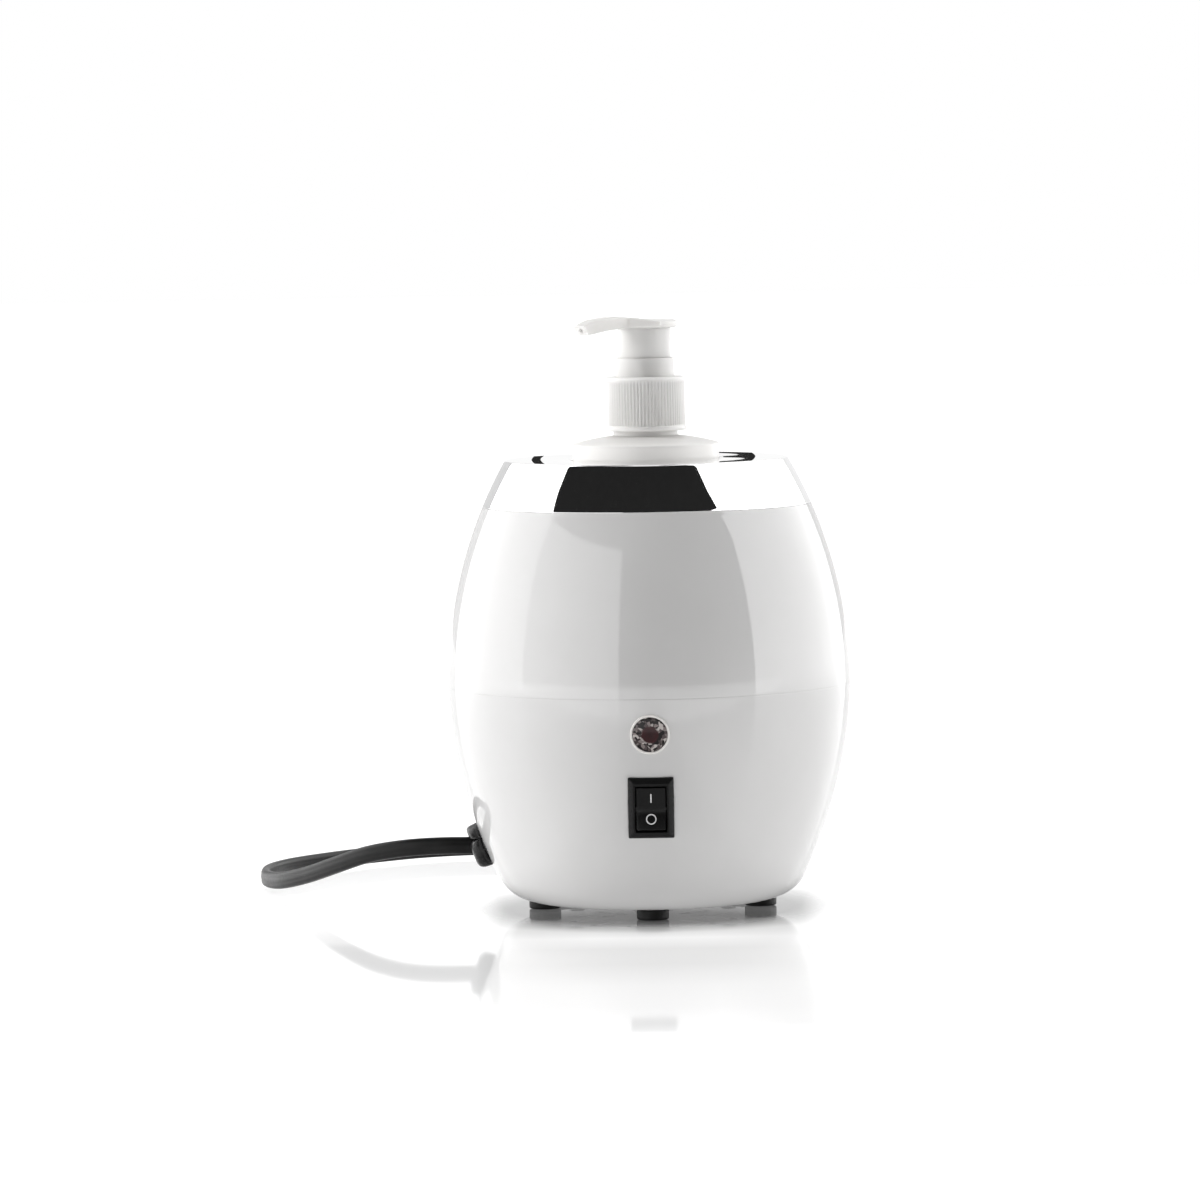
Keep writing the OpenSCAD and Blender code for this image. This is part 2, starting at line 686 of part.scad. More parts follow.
module switch_terminals() {
    color("silver") on_front(switch_z, switch_seat)
        for (x = [-switch_blade_x, switch_blade_x])
            translate([x, 0, -switch_depth - switch_blade_len])
                block(blade_t, blade_w, switch_blade_len);
}

// Lamp, in the frame of its place on the shell
module lamp_barrel() {
    color("whitesmoke") on_front(lamp_z) difference() {
        rotate_extrude() polygon([[0, -lamp_len], [lamp_barrel_r, -lamp_len],
            [lamp_barrel_r, -lamp_seat], [lamp_rim_r, -lamp_seat], [lamp_rim_r, lamp_face - 0.2],
            [lamp_rim_r - 0.2, lamp_face], [lamp_lens_r + slide_gap, lamp_face],
            [lamp_lens_r + slide_gap, -0.2], [lamp_bore_r, -0.2], [lamp_bore_r, 1 - lamp_len],
            [0, 1 - lamp_len]]);
        for (x = [-lamp_wire_x, lamp_wire_x]) translate([x, 0, -lamp_len - 1])
            cylinder(r = thin_wire_r + near_gap, h = 3);
    }
}
module lamp_lens() {
    crown = lamp_face + 0.4;
    color("darkred") on_front(lamp_z) rotate_extrude() polygon([[0, -2.2],
        [lamp_bore_r - slide_gap, -2.2], [lamp_bore_r - slide_gap, -0.15], [lamp_lens_r, -0.15],
        [lamp_lens_r, lamp_face - 0.2], [lamp_lens_r * 0.8, lamp_face + 0.15],
        [lamp_lens_r * 0.4, crown - 0.07], [0, crown]]);
}
module neon_bulb() {
    bulb_r = lamp_bore_r - 1.3;
    bulb_len = lamp_len - 5;
    color("orange") on_front(lamp_z) translate([0, 0, 1 + seat_gap - lamp_len])
        rotate_extrude() polygon(concat([[0, 0]], [[bulb_r, 0]],
            arc([bulb_r / 2, bulb_len - bulb_r / 2], bulb_r / 2, 0, 90, edge_steps),
            [[0, bulb_len]]));
}
module lamp_clip() {
    clip_z = wall + 1.1;
    color("silver") on_front(lamp_z) translate([0, 0, -clip_z])
        tube(lamp_barrel_r + 2.6, lamp_barrel_r + slide_gap, 0.5);
}

// Wiring inside the lower shell
module terminal_block() {
    color("white") difference() {
        translate([block_x, block_y, floor_z + slide_gap]) cube([block_l, block_w, block_h]);
        for (y = [block_pole, block_w - block_pole]) {
            translate([block_x - 1, block_y + y, block_wire_z]) rotate([0, 90, 0])
                cylinder(r = wire_r + 0.4, h = block_l + 2);
            for (x = [3, block_l - 3]) translate([block_x + x, block_y + y, block_wire_z])
                cylinder(r = 1.7, h = block_h);
        }
    }
}
module terminal_screws() {
    color("gold") for (y = [block_pole, block_w - block_pole]) for (x = [3, block_l - 3])
        translate([block_x + x, block_y + y, block_wire_z + wire_r + 0.5]) difference() {
            cylinder(r = 1.65, h = 4);
            translate([0, 0, 3.3]) block(4, 0.6, 1);
        }
}
module live_core() {
    color("brown") wire([[core_x, 0, cord_exit_z - core_z],
        [core_x + 2.2, 1.5, cord_exit_z - 4], [core_x + 5.2, 5, block_wire_z + 2],
        [core_x + 8.2, near_pole, block_wire_z],
        [block_x + 2, near_pole, block_wire_z]]);
}
module neutral_core() {
    color("royalblue") wire([[core_x, 0, cord_exit_z + core_z],
        [core_x + 3.2, 4, cord_exit_z], [core_x + 6.2, 12, block_wire_z + 4],
        [core_x + 8.2, far_pole, block_wire_z],
        [block_x + 2, far_pole, block_wire_z]]);
}
module live_wire() {
    color("brown") wire(concat([[block_end_x - 2, near_pole, block_wire_z],
        [block_end_x + 3, near_pole - 1, block_wire_z], [-0.53 * run_r, 0, floor_z + 4],
        [-0.5 * run_r, -0.43 * run_r, floor_z + 6], [-0.4 * run_r, -0.84 * run_r, floor_z + run_low],
        [-run_x, -run_y, floor_z + run_high]],
        [for (d = [3, 0]) front_point(switch_z, [-switch_blade_x - d * 0.4, -d, switch_wire_z - d])]));
}
module switched_wire() {
    color("black") wire(concat(
        [for (d = [0, 3]) front_point(switch_z, [switch_blade_x + d * 0.4, -d, switch_wire_z - d])],
        [[run_x, -run_y, floor_z + run_high], [0.34 * run_r, -0.84 * run_r, floor_z + run_low],
            [0.28 * run_r, -0.47 * run_r, blade_z + 1], [blade_x, -run_x, blade_z],
            [blade_x, -blade_y, blade_z]]));
}
module thermostat_wire() {
    color("black") wire([[-blade_x, blade_y, blade_z], [-blade_x, 8, blade_z + 0.5],
        [-10, 13, blade_z + 3], [-fuse_end_x, fuse_y, fuse_z - 7],
        [-fuse_end_x + 0.6, fuse_y, fuse_z - fuse_lead_r - seat_gap]]);
}
module fuse_wire() {
    color("black") wire([[fuse_end_x - 0.6, fuse_y, fuse_z - fuse_lead_r - seat_gap],
        [fuse_end_x, fuse_y + 1, fuse_z - 5], [13, 25, fuse_z - 4], [8, heater_lead_y + 3, well_floor_z],
        [heater_lead_x, heater_lead_y + 1, heater_z - 8],
        [heater_lead_x, heater_lead_y, heater_z - seat_gap]], up = [1, 0, 0]);
}
module neutral_wire() {
    color("royalblue") wire([[block_end_x - 2, far_pole, block_wire_z],
        [block_end_x + 0.5, far_pole, block_wire_z],
        [block_end_x + 4, far_pole + 1, block_wire_z], [-16, 25, floor_z + 12],
        [-9, heater_lead_y + 3, well_floor_z], [-heater_lead_x, heater_lead_y + 1, heater_z - 8],
        [-heater_lead_x, heater_lead_y, heater_z - seat_gap]]);
}
module lamp_wires() {
    lamp_back = lamp_len + 2;
    color("gainsboro") for (s = [-1, 1]) wire([
        front_point(lamp_z, [s * lamp_wire_x, 0, 1 - lamp_len]),
        front_point(lamp_z, [s * lamp_wire_x, 0, -lamp_back]),
        front_point(lamp_z, [s * 2.2, -3, -lamp_back - 2]),
        front_point(switch_z, [s * switch_blade_x, blade_w / 2 + 5, switch_wire_z + 4]),
        front_point(switch_z, [s * switch_blade_x, blade_w / 2 + thin_wire_r, switch_wire_z + 4])],
        r = thin_wire_r, up = [1, 0, 0]);
}

// Bushing, cut level for the cord: the main part below and the wedge above
module bushing(head_t) {
    body_r_in = bushing_hole_r - 0.15;
    on_left() rotate_extrude() polygon([[0, -8], [body_r_in - 0.6, -8], [bushing_hole_r + 0.5, -4.6],
        [bushing_hole_r + 0.5, -wall - 0.9], [body_r_in, -wall - 0.9], [body_r_in, seat_gap],
        [bushing_head_r, seat_gap], [bushing_head_r, head_t * 0.55],
        [bushing_head_r * 0.88, head_t * 0.88], [bushing_head_r * 0.66, head_t], [0, head_t]]);
}
module strain_relief() {
    color("black") difference() {
        bushing(3.4);
        translate([-lower_r(bushing_z), 0, cord_exit_z - cord_w / 2 - slide_gap])
            block(60, cord_t + 2 * slide_gap, 30);
        translate([-lower_r(bushing_z), 0, cord_exit_z + cord_w / 2 - slide_gap]) block(60, 60, 30);
    }
}
module strain_wedge() {
    color("black") difference() {
        bushing(3.4);
        translate([-lower_r(bushing_z), 0, cord_exit_z + cord_w / 2 + slide_gap - 30]) block(60, 60, 30);
    }
}

// Cord, standing on edge, with its coil, tie and plug behind the body
module cord_lead() {
    path = smooth(lead_route, 2);
    color("black") skin(rings(path, uprights(path, [0, 0, 1]), oval(cord_t, cord_w, 8)), 8);
}
module cord_tail() {
    path = smooth(tail_route, 2);
    color("black") skin(rings(path, uprights(path, [0, 0, 1]), oval(cord_t, cord_w, 8)), 8);
}

// The coil winds in, climbs a layer in the half turn where it reverses, and winds out again
function coil_point(turn) = let (
    a = 90 - 360 * turn,
    r = coil_r - coil_pitch * (coil_half - abs(turn - coil_half)),
    climb = min(max((turn - coil_turns) * 2, 0), 1))
    [r * cos(a), coil_y + r * sin(a), coil_z + coil_rise * climb];
coil_path = concat([[-cord_w, coil_y + coil_r, coil_z], [-cord_w / 2, coil_y + coil_r, coil_z]],
    [for (i = [0:coil_rings]) coil_point(i / loop_rings)],
    [[cord_w / 2, coil_y + coil_r, coil_top_z], [cord_w, coil_y + coil_r, coil_top_z]]);

// Room between two turns that pass the same place, by the oval's own reach towards the other
function turn_room(p, q) = let (d = p - q, flat = norm([d[0], d[1]]))
    norm(d) * (1 - 1 / sqrt(pow(flat / cord_t, 2) + pow(d[2] / cord_w, 2)));
function least_room() = min([for (i = [0:coil_rings]) for (k = [1:ceil(2 * coil_half)])
    let (j = i + k * loop_rings) if (j <= coil_rings)
        turn_room(coil_point(i / loop_rings), coil_point(j / loop_rings))]);
module cord_coil() {
    echo(least_gap_between_turns = least_room());
    color("black")
        skin(rings(coil_path, uprights(coil_path, [0, 0, 1]), oval(cord_t, cord_w, 6)), 6);
}
module cord_tie() {
    in_r = coil_r - coil_pitch * coil_half - cord_t / 2 - near_gap;
    out_r = coil_r + cord_t / 2 + near_gap;
    top_z = coil_top_z + cord_w / 2 + near_gap;
    color("dimgray") translate([0, coil_y - tie_w / 2, 0]) difference() {
        translate([in_r - tie_t, 0, 0]) cube([out_r - in_r + 2 * tie_t, tie_w, top_z + tie_t]);
        translate([in_r, -1, tie_t]) cube([out_r - in_r, tie_w + 2, top_z - tie_t]);
    }
}
module plug_body() {
    half = 17.6;
    tail = cord_t / 2 + 2.2;
    color("black") translate([plug_x, plug_y, 0]) linear_extrude(plug_t)
        polygon([[-tail, 0], [tail, 0], [tail, 8], [12, 16], [half, 23], [half, 34],
            [half - 3, plug_len], [3 - half, plug_len], [-half, 34], [-half, 23], [-12, 16], [-tail, 8]]);
}
module plug_pins() {
    pin_r = 2;
    pin_x = 9.3;
    color("silver") for (x = [-pin_x, pin_x]) translate([plug_x + x, plug_y + plug_len, plug_t / 2])
        rotate([-90, 0, 0]) {
            cylinder(r = pin_r, h = pin_len - pin_r / 2);
            translate([0, 0, pin_len - pin_r / 2]) cylinder(r1 = pin_r, r2 = pin_r / 2, h = pin_r / 2);
        }
}

// Bottle and pump
function thread_ring(a, z, root, crest) = [for (p = [[root, -thread_root_w], [crest, -thread_crest_w],
    [crest, thread_crest_w], [root, thread_root_w]])
    [p[0] * cos(a), p[0] * sin(a), z + p[1] / 2]];
// A helical ridge of a number of turns, from a root radius to a crest radius
module ridge(root, crest, z, turns) {
    last = round(turns * thread_steps);
    points = [for (i = [0:last]) each thread_ring(360 * i / thread_steps,
        z + thread_pitch * i / thread_steps, root, crest)];
    if (crest > root) skin(points, 4);
    else mirror_skin(points, 4);
}
// The same skin for rings that run the other way round
module mirror_skin(points, sides) {
    last = len(points) / sides - 1;
    skin([for (i = [0:last]) for (j = [sides - 1:-1:0]) points[i * sides + j]], sides);
}
module bottle() {
    dome = [[0.985, 0.12], [0.8, 0.45], [0.6, 0.81]];
    corner = 1.2;
    outer = concat([[0, bottle_z]],
        arc([bottle_r - bottle_edge_r, bottle_z + bottle_edge_r], bottle_edge_r, -90, 0, edge_steps),
        [[bottle_r, shoulder_z]],
        [for (p = dome) [bottle_r * p[0], shoulder_z + shoulder_rise * p[1]]],
        [[neck_r, neck_z], [neck_r, neck_top_z]]);
    in_r = bottle_r - bottle_wall;
    in_edge = bottle_edge_r - bottle_wall;
    inner = concat([[neck_r - neck_wall, neck_top_z], [neck_r - neck_wall, neck_z - bottle_wall]],
        [for (i = [len(dome) - 1:-1:0])
            [in_r * dome[i][0], shoulder_z + shoulder_rise * dome[i][1] - bottle_wall]],
        [[in_r, shoulder_z - corner]],
        arc([in_r - in_edge, bottle_z + bottle_edge_r], in_edge, 0, -90, edge_steps),
        [[0, bottle_z + bottle_wall]]);
    color("whitesmoke") union() {
        rotate_extrude() polygon(concat(outer, inner));
        ridge(neck_r - thread_sink, thread_r, thread_start_z, thread_turns);
    }
}
module pump_collar() {
    band_h = 1.4;
    rib_h = 0.35;
    top_edge = 0.9;
    plain_r = collar_r - rib_h;
    ribs_top_z = collar_top_z - top_edge;
    ribs = [for (i = [0:4 * collar_ribs - 1])
        let (r = i % 4 < 2 ? collar_r : plain_r, a = 90 * i / collar_ribs) [r * cos(a), r * sin(a)]];
    color("white") union() {
        difference() {
            union() {
                translate([0, 0, collar_z]) cylinder(r = collar_r + 0.25, h = band_h);
                translate([0, 0, collar_z + band_h / 2])
                    linear_extrude(ribs_top_z - collar_z - band_h / 2) polygon(ribs);
                translate([0, 0, ribs_top_z])
                    cylinder(r1 = plain_r, r2 = plain_r - top_edge, h = top_edge);
            }
            translate([0, 0, collar_z - 1])
                cylinder(r = collar_in_r, h = collar_h - collar_top_t + 1);
            cylinder(r = chimney_r + 0.2, h = 2 * collar_top_z);
        }
        ridge(collar_in_r + thread_sink, neck_r + near_gap, thread_start_z - thread_pitch / 2,
            thread_turns - 0.25);
    }
}
module pump_gasket() {
    color("lightgray") translate([0, 0, gasket_z])
        tube(neck_r + 0.6, neck_r - neck_wall - 0.3, gasket_t);
}
module pump_housing() {
    out_r = cylinder_r + housing_wall;
    color("white") rotate_extrude() polygon([
        [chimney_r, chimney_top_z], [chimney_r, flange_top_z], [neck_r + 0.8, flange_top_z],
        [neck_r + 0.8, flange_z], [out_r, flange_z], [out_r, cylinder_z - 2],
        [cage_r + housing_wall, cylinder_z - 2 - out_r + cage_r + housing_wall],
        [cage_r + housing_wall, seat_z], [tail_r, seat_z - 1.5], [tail_r, tail_z],
        [dip_r + slide_gap, tail_z], [dip_r + slide_gap, tail_z + socket_len],
        [seat_r, tail_z + socket_len], [seat_r, seat_z], [cage_r, seat_z + cage_r - seat_r],
        [cage_r, cylinder_z], [cylinder_r, cylinder_z], [cylinder_r, flange_z],
        [stem_hole_r, flange_z], [stem_hole_r, flange_z + chimney_floor_t],
        [chimney_in_r, flange_z + chimney_floor_t], [chimney_in_r, chimney_top_z]]);
}
module pump_stem() {
    color("white") translate([0, 0, stem_bottom_z])
        tube(stem_r, stem_bore_r, stem_top_z - stem_bottom_z);
}
module pump_piston() {
    groove = 0.4;
    color("lightgray") translate([0, 0, piston_z]) rotate_extrude() polygon([
        [stem_r, 0], [cylinder_r - slide_gap, 0], [cylinder_r - slide_gap, piston_h / 3],
        [cylinder_r - groove, piston_h / 3 + groove], [cylinder_r - groove, piston_h * 2 / 3 - groove],
        [cylinder_r - slide_gap, piston_h * 2 / 3], [cylinder_r - slide_gap, piston_h],
        [stem_r, piston_h]]);
}
module pump_spring() {
    z0 = cylinder_z + spring_wire_r + seat_gap;
    rise = piston_z - seat_gap - spring_wire_r - z0;
    last = spring_turns * spring_rings;
    path = [for (i = [0:last]) let (a = 360 * i / spring_rings)
        [spring_r * cos(a), spring_r * sin(a), z0 + rise * i / last]];
    color("silver") skin(rings(path, uprights(path, [0, 0, 1]),
        oval(2 * spring_wire_r, 2 * spring_wire_r, 6)), 6);
}
module check_ball() {
    color("silver") translate([0, 0, ball_z]) sphere(r = ball_r);
}
module dip_tube() {
    dip_z = bottle_z + bottle_wall + 4;
    color("whitesmoke") translate([0, 0, dip_z])
        tube(dip_r, dip_r - 0.7, tail_z + socket_len - seat_gap - dip_z);
}
module pump_head() {
    bore_r = 0.8;
    tip_w = 3.1;
    root_w = 4.6;
    tip = spout_len;
    side = [[-pad_r, 0], [-pad_r - 0.2, 1.2], [0.6 - pad_r, 2.5], [3 - pad_r, 2.9], [-4, 2.7],
        [0, 2.7], [4, 3], [8, 3.8], [12, 4.1], [tip - 12, 4.1], [tip - 5.6, 3.5], [tip - 2.2, 2.6],
        [tip, 1.4], [tip - 1.9, -1.6], [tip - 6, -1], [17, -0.4], [13, 0], [skirt_r, 0]];
    slope = atan2(0.5, tip);
    color("white") rotate([0, 0, spout_yaw]) difference() {
        union() {
            intersection() {
                translate([0, pad_r + 1, head_z]) rotate([90, 0, 0])
                    linear_extrude(2 * pad_r + 2) polygon(side);
                translate([0, 0, head_z - 5]) linear_extrude(15) union() {
                    circle(r = pad_r);
                    polygon([[4, -root_w - 3], [10, -root_w], [tip - 2, -tip_w], [tip + 1, 0.7 - tip_w],
                        [tip + 1, tip_w - 0.7], [tip - 2, tip_w], [10, root_w], [4, root_w + 3]]);
                }
            }
            translate([0, 0, chimney_top_z - skirt_engage])
                tube(skirt_r, skirt_r - 1.2, head_rise + skirt_engage + 0.3);
            translate([0, 0, head_z - 8]) cylinder(r = boss_r, h = 8.3);
        }
        translate([0, 0, head_z - 9]) cylinder(r = socket_r, h = 9 + head_roof);
        translate([0, 0, head_z + 1.2]) rotate([0, 90 + slope, 0]) cylinder(r = bore_r, h = tip + 4);
    }
}

upper_shell();
lower_shell();
chrome_ring();
rubber_feet();
shell_screws();
well_cup();
heater_band();
heater_straps();
insulation_sleeve();
thermostat_body();
thermostat_cap();
thermostat_bracket();
thermostat_terminals();
bracket_nuts();
thermal_fuse();
fuse_clip();
switch_frame();
rocker();
switch_terminals();
lamp_lens();
lamp_barrel();
neon_bulb();
lamp_clip();
terminal_block();
terminal_screws();
live_core();
neutral_core();
live_wire();
switched_wire();
thermostat_wire();
fuse_wire();
neutral_wire();
lamp_wires();
strain_relief();
strain_wedge();
cord_lead();
cord_coil();
cord_tail();
cord_tie();
plug_body();
plug_pins();
bottle();
pump_collar();
pump_gasket();
pump_housing();
pump_stem();
pump_piston();
pump_spring();
check_ball();
dip_tube();
pump_head();
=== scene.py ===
"""Massage oil warmer: the barrel, its chrome mouth, the pump bottle, the switch, the lamp and the lead."""
from functools import partial
from math import radians

import bmesh
import bpy
import numpy as np
from mathutils import Matrix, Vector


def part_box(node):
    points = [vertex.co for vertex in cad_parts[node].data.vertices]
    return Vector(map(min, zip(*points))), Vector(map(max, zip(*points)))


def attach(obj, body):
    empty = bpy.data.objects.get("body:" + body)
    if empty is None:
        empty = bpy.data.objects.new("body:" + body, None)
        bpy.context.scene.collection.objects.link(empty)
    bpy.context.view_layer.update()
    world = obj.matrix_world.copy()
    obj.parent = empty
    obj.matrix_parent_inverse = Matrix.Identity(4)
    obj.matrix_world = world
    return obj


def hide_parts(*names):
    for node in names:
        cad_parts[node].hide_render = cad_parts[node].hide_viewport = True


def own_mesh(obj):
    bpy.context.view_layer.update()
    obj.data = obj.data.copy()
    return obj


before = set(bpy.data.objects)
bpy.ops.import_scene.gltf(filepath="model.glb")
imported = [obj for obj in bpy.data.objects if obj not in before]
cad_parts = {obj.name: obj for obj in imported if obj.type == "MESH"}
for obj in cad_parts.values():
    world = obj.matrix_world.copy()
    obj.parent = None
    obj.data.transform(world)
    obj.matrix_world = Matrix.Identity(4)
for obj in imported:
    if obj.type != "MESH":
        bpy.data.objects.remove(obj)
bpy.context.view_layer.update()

MM = 0.001
TURN = 2 * np.pi

# Body, in millimetres, as in the part's source
BODY_R, SEAM_Z, WALL = 67.5, 75.5, 2.5
UPPER_CURVE, LOWER_CURVE, LOWER_RISE = 151.4, 165.3, 6.5
FOOT_H, CORNER_R = 3.4, 13.5
RING_BASE, RING_TOP, RING_EDGE, RING_WALL, RING_PLATE = 135.5, 150.9, 0.8, 2.0, 1.6
MOUTH_R, NECK_INSET = 25.6, 2.3
DECK_Z, WELL_R, WELL_OUT, WELL_FLOOR = 148.3, 26.0, 27.0, 28.8
SEAM_LIP, SEAM_GAP, POST_R, FOOT_R = 0.04, 0.006, 36.3, 36.2
LOWER_Z = SEAM_Z + LOWER_RISE
LOWER_C = BODY_R - np.sqrt(LOWER_CURVE ** 2 - LOWER_RISE ** 2)
CORNER_Z = FOOT_H + CORNER_R
CORNER_C = LOWER_C + np.sqrt((LOWER_CURVE - CORNER_R) ** 2 - (LOWER_Z - CORNER_Z) ** 2)
CORNER_END = np.degrees(np.arctan2(CORNER_Z - LOWER_Z, CORNER_C - LOWER_C))
BODY_SPOKES = 288

# Switch, lamp and bushing on the lower shell, half sizes and radii of their openings, and the vents in its floor
SWITCH_Z, SWITCH_SEAT, LAMP_Z, LENS_R, BUSHING_Z, BUSHING_LEAN = 39.5, 0.75, 64.0, 5.75, 22.0, 21.3
ROCKER_TILT, ROCKER_PIVOT, ROCKER_TOP, ROCKER_HALF = 11.0, 0.4, 1.7, 7.0
ROCKER_SLOPE = np.tan(radians(ROCKER_TILT))
SWITCH_HOLE_W, SWITCH_HOLE_H, LAMP_HOLE_R, BUSHING_HOLE_R = 6.2, 8.9, 4.9, 5.4
VENT_R, VENT_REACH, VENT_ANGLE, VENT_STEP = 22.1, 4.4, 2.5, 30.0

# Bottle and pump
BOTTLE_R, BOTTLE_WALL, BOTTLE_Z, SHOULDER_Z, NECK_Z = 24.5, 1.1, 28.9, 156.0, 158.6
SPRING_TURNS, SPRING_WIRE_R, PUMP_STROKE = 8, 0.45, 7.5
NECK_R, NECK_WALL, NECK_TOP, THREAD_R, THREAD_PITCH = 10.75, 1.4, 174.15, 11.9, 3.175
COLLAR_Z, COLLAR_TOP, COLLAR_R, COLLAR_RIBS = 160.3, 178.4, 13.4, 74
CHIMNEY_R, CHIMNEY_TOP, HEAD_Z, SKIRT_R, SPOUT_YAW = 9.8, 184.5, 194.4, 8.83, 220.0

# Cord: a flat lead on edge, its route to the coil, the coil and the tail to the plug
CORD_W, CORD_T = 5.8, 3.6
COIL_Y, COIL_R, COIL_PITCH, COIL_RISE, COIL_Z, COIL_TURNS = 108.0, 37.0, 4.2, 6.4, 3.7, 2.75
PLUG_X, PLUG_Y, PLUG_T, PLUG_LENGTH, PIN_X = 33.0, 176.0, 13.7, 38.0, 9.3
LEAD_ROUTE = [(-47, 0, 21.5), (-60, 0, 21.5), (-72, 0, 21.5), (-84, 2, 20.6), (-96, 9, 18),
              (-107, 20, 13.5), (-118, 35, 8.5), (-128, 52, 4.8), (-134, 70, 3.7), (-134, 88, 3.7),
              (-128, 105, 3.7), (-116, 122, 3.7), (-101, 138, 3.7), (-84, 152, 3.7), (-66, 159, 3.7),
              (-47, 159, 3.7), (-30, 152, 3.7), (-16, 146.5, 3.7), (-5.8, 145, 3.7)]
TAIL_ROUTE = [(5.8, 145, 10.1), (12, 145, 10.1), (20, 147.5, 9), (27.5, 154, 7.8),
              (32, 163, 6.85), (33, 171, 6.85), (33, 175.7, 6.85)]


# Shapes

def lower_radius(z, inset=0.0):
    """Radius of the lower bulge at a height: the bulge's centre plus the leg of a right triangle."""
    return LOWER_C + np.sqrt((LOWER_CURVE - inset) ** 2 - (LOWER_Z - z) ** 2)


def upper_radius(z, inset=0.0):
    """Radius of the upper bulge at a height, worked out in the same way about the seam."""
    return BODY_R - UPPER_CURVE + np.sqrt((UPPER_CURVE - inset) ** 2 - (z - SEAM_Z) ** 2)


def arc(centre_r, centre_z, radius, start, end, steps):
    """Points (r, z) on a circle: centre plus radius times cosine and sine of evenly spaced angles."""
    a = np.radians(np.linspace(start, end, steps))
    return np.stack([centre_r + radius * np.cos(a), centre_z + radius * np.sin(a)], 1)


def line(*points):
    """Points (r, z) as an array."""
    return np.array(points, float)


def bulge(radius_at, z0, z1, inset, count):
    """Points (r, z) of a bulge at evenly spaced heights, by its radius at each of them."""
    z = np.linspace(z0, z1, count)
    return np.stack([radius_at(z, inset), z], 1)


def angles(count):
    """Angles at even steps round a turn, from 0."""
    return np.arange(count) * TURN / count


def around(r, a, z):
    """A row of points for each angle: x and y are the radius times its cosine and sine, z is the height."""
    return np.stack(np.broadcast_arrays(r * np.cos(a)[:, None], r * np.sin(a)[:, None], z), -1)


def squarer(wave, power):
    """A sine or cosine made squarer: its sign times a power of its size."""
    return np.sign(wave) * np.abs(wave) ** power


def eased(points, radius, steps=5, closed=True):
    """Rounds each corner of an outline: a quadratic curve from a point on one leg, by the corner, to the other.

    The legs are cut back by the radius, or by 0.45 of the shorter leg where that is less.
    """
    p = np.asarray(points, float)
    before, after = np.roll(p, 1, 0) - p, np.roll(p, -1, 0) - p
    len_b, len_a = np.linalg.norm(before, axis=1), np.linalg.norm(after, axis=1)
    cut = np.minimum(np.broadcast_to(radius, len(p)), 0.45 * np.minimum(len_b, len_a))
    if not closed:
        cut = cut.copy()
        cut[[0, -1]] = 0
    a = p + before / len_b[:, None] * cut[:, None]
    b = p + after / len_a[:, None] * cut[:, None]
    t = np.linspace(0, 1, steps)[None, :, None]
    curve = (1 - t) ** 2 * a[:, None] + 2 * t * (1 - t) * p[:, None] + t ** 2 * b[:, None]
    flat = curve.reshape(-1, p.shape[1])
    apart = np.linalg.norm(np.diff(flat, axis=0), axis=1) > 1e-6
    return flat[np.concatenate([[True], apart])]


def grid_faces(rows, columns, wrap_rows, wrap_columns, first=0):
    """Corner numbers of the four-sided faces of a grid, as one array, row after row."""
    i, j = np.meshgrid(np.arange(rows if wrap_rows else rows - 1),
                       np.arange(columns if wrap_columns else columns - 1), indexing="ij")
    i2, j2 = (i + 1) % rows, (j + 1) % columns
    quads = np.stack([i * columns + j, i2 * columns + j, i2 * columns + j2, i * columns + j2], -1)
    return first + quads.reshape(-1, 4)


def placed(name, data):
    """A new object with some data, in the scene."""
    piece = bpy.data.objects.new(name, data)
    bpy.context.scene.collection.objects.link(piece)
    return piece


class Shape:
    """Points and faces of one piece, gathered from several grids."""

    def __init__(self):
        self.points, self.faces, self.count = [], [], 0

    def grid(self, points, wrap_rows=False, wrap_columns=True, keep=None, place=None):
        """Adds a grid of points (rows, columns, 3) in millimetres, without the faces that keep leaves out."""
        rows, columns = points.shape[:2]
        faces = grid_faces(rows, columns, wrap_rows, wrap_columns, self.count)
        if keep is not None:
            faces = faces[keep.reshape(-1)]
        flat = points.reshape(-1, 3)
        self.points.append(flat if place is None else place(flat))
        self.faces.append(faces)
        self.count += len(flat)
        return self

    def spun(self, outline, spokes, closed=True, place=None, ripple=None, keep=None):
        """Spins an outline (r, z) round the axis: x and y are r times cosine and sine, z stays."""
        a = angles(spokes)
        r, z = (np.broadcast_to(column, (spokes, len(outline))) for column in outline.T)
        if ripple is not None:
            r = r + ripple(a[:, None], r, z)
        return self.grid(around(r, a, z), True, closed, keep, place)

    def at_corners(self, outline, spokes, closed, first, radius):
        """Spins an outline four times, about axes at a radius and a quarter turn from one another."""
        for corner in range(4):
            self.spun(outline, spokes, closed, about(first + 90 * corner, radius))
        return self

    def made(self, name, body, slot, material, replaced=(), crease=32.0, outward=True):
        """Puts the piece into the scene, with doubled points merged and shaded smooth up to a crease angle."""
        mesh = bpy.data.meshes.new(name)
        mesh.from_pydata((np.concatenate(self.points) * MM).tolist(), [],
                         np.concatenate(self.faces).tolist())
        work = bmesh.new()
        work.from_mesh(mesh)
        bmesh.ops.remove_doubles(work, verts=work.verts, dist=2e-6)
        bmesh.ops.dissolve_degenerate(work, edges=work.edges, dist=1e-7)
        if outward:
            bmesh.ops.recalc_face_normals(work, faces=work.faces)
        work.to_mesh(mesh)
        work.free()
        mesh.shade_smooth()
        mesh.set_sharp_from_angle(angle=radians(crease))
        mesh.materials.append(material)
        piece = placed(name, mesh)
        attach(piece, body)
        if replaced:
            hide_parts(*replaced)
        return piece


def turned(a, b, angle):
    """Two directions, or coordinates along them, turned by an angle: a towards b, and b away from a."""
    return np.cos(angle) * a + np.sin(angle) * b, np.cos(angle) * b - np.sin(angle) * a


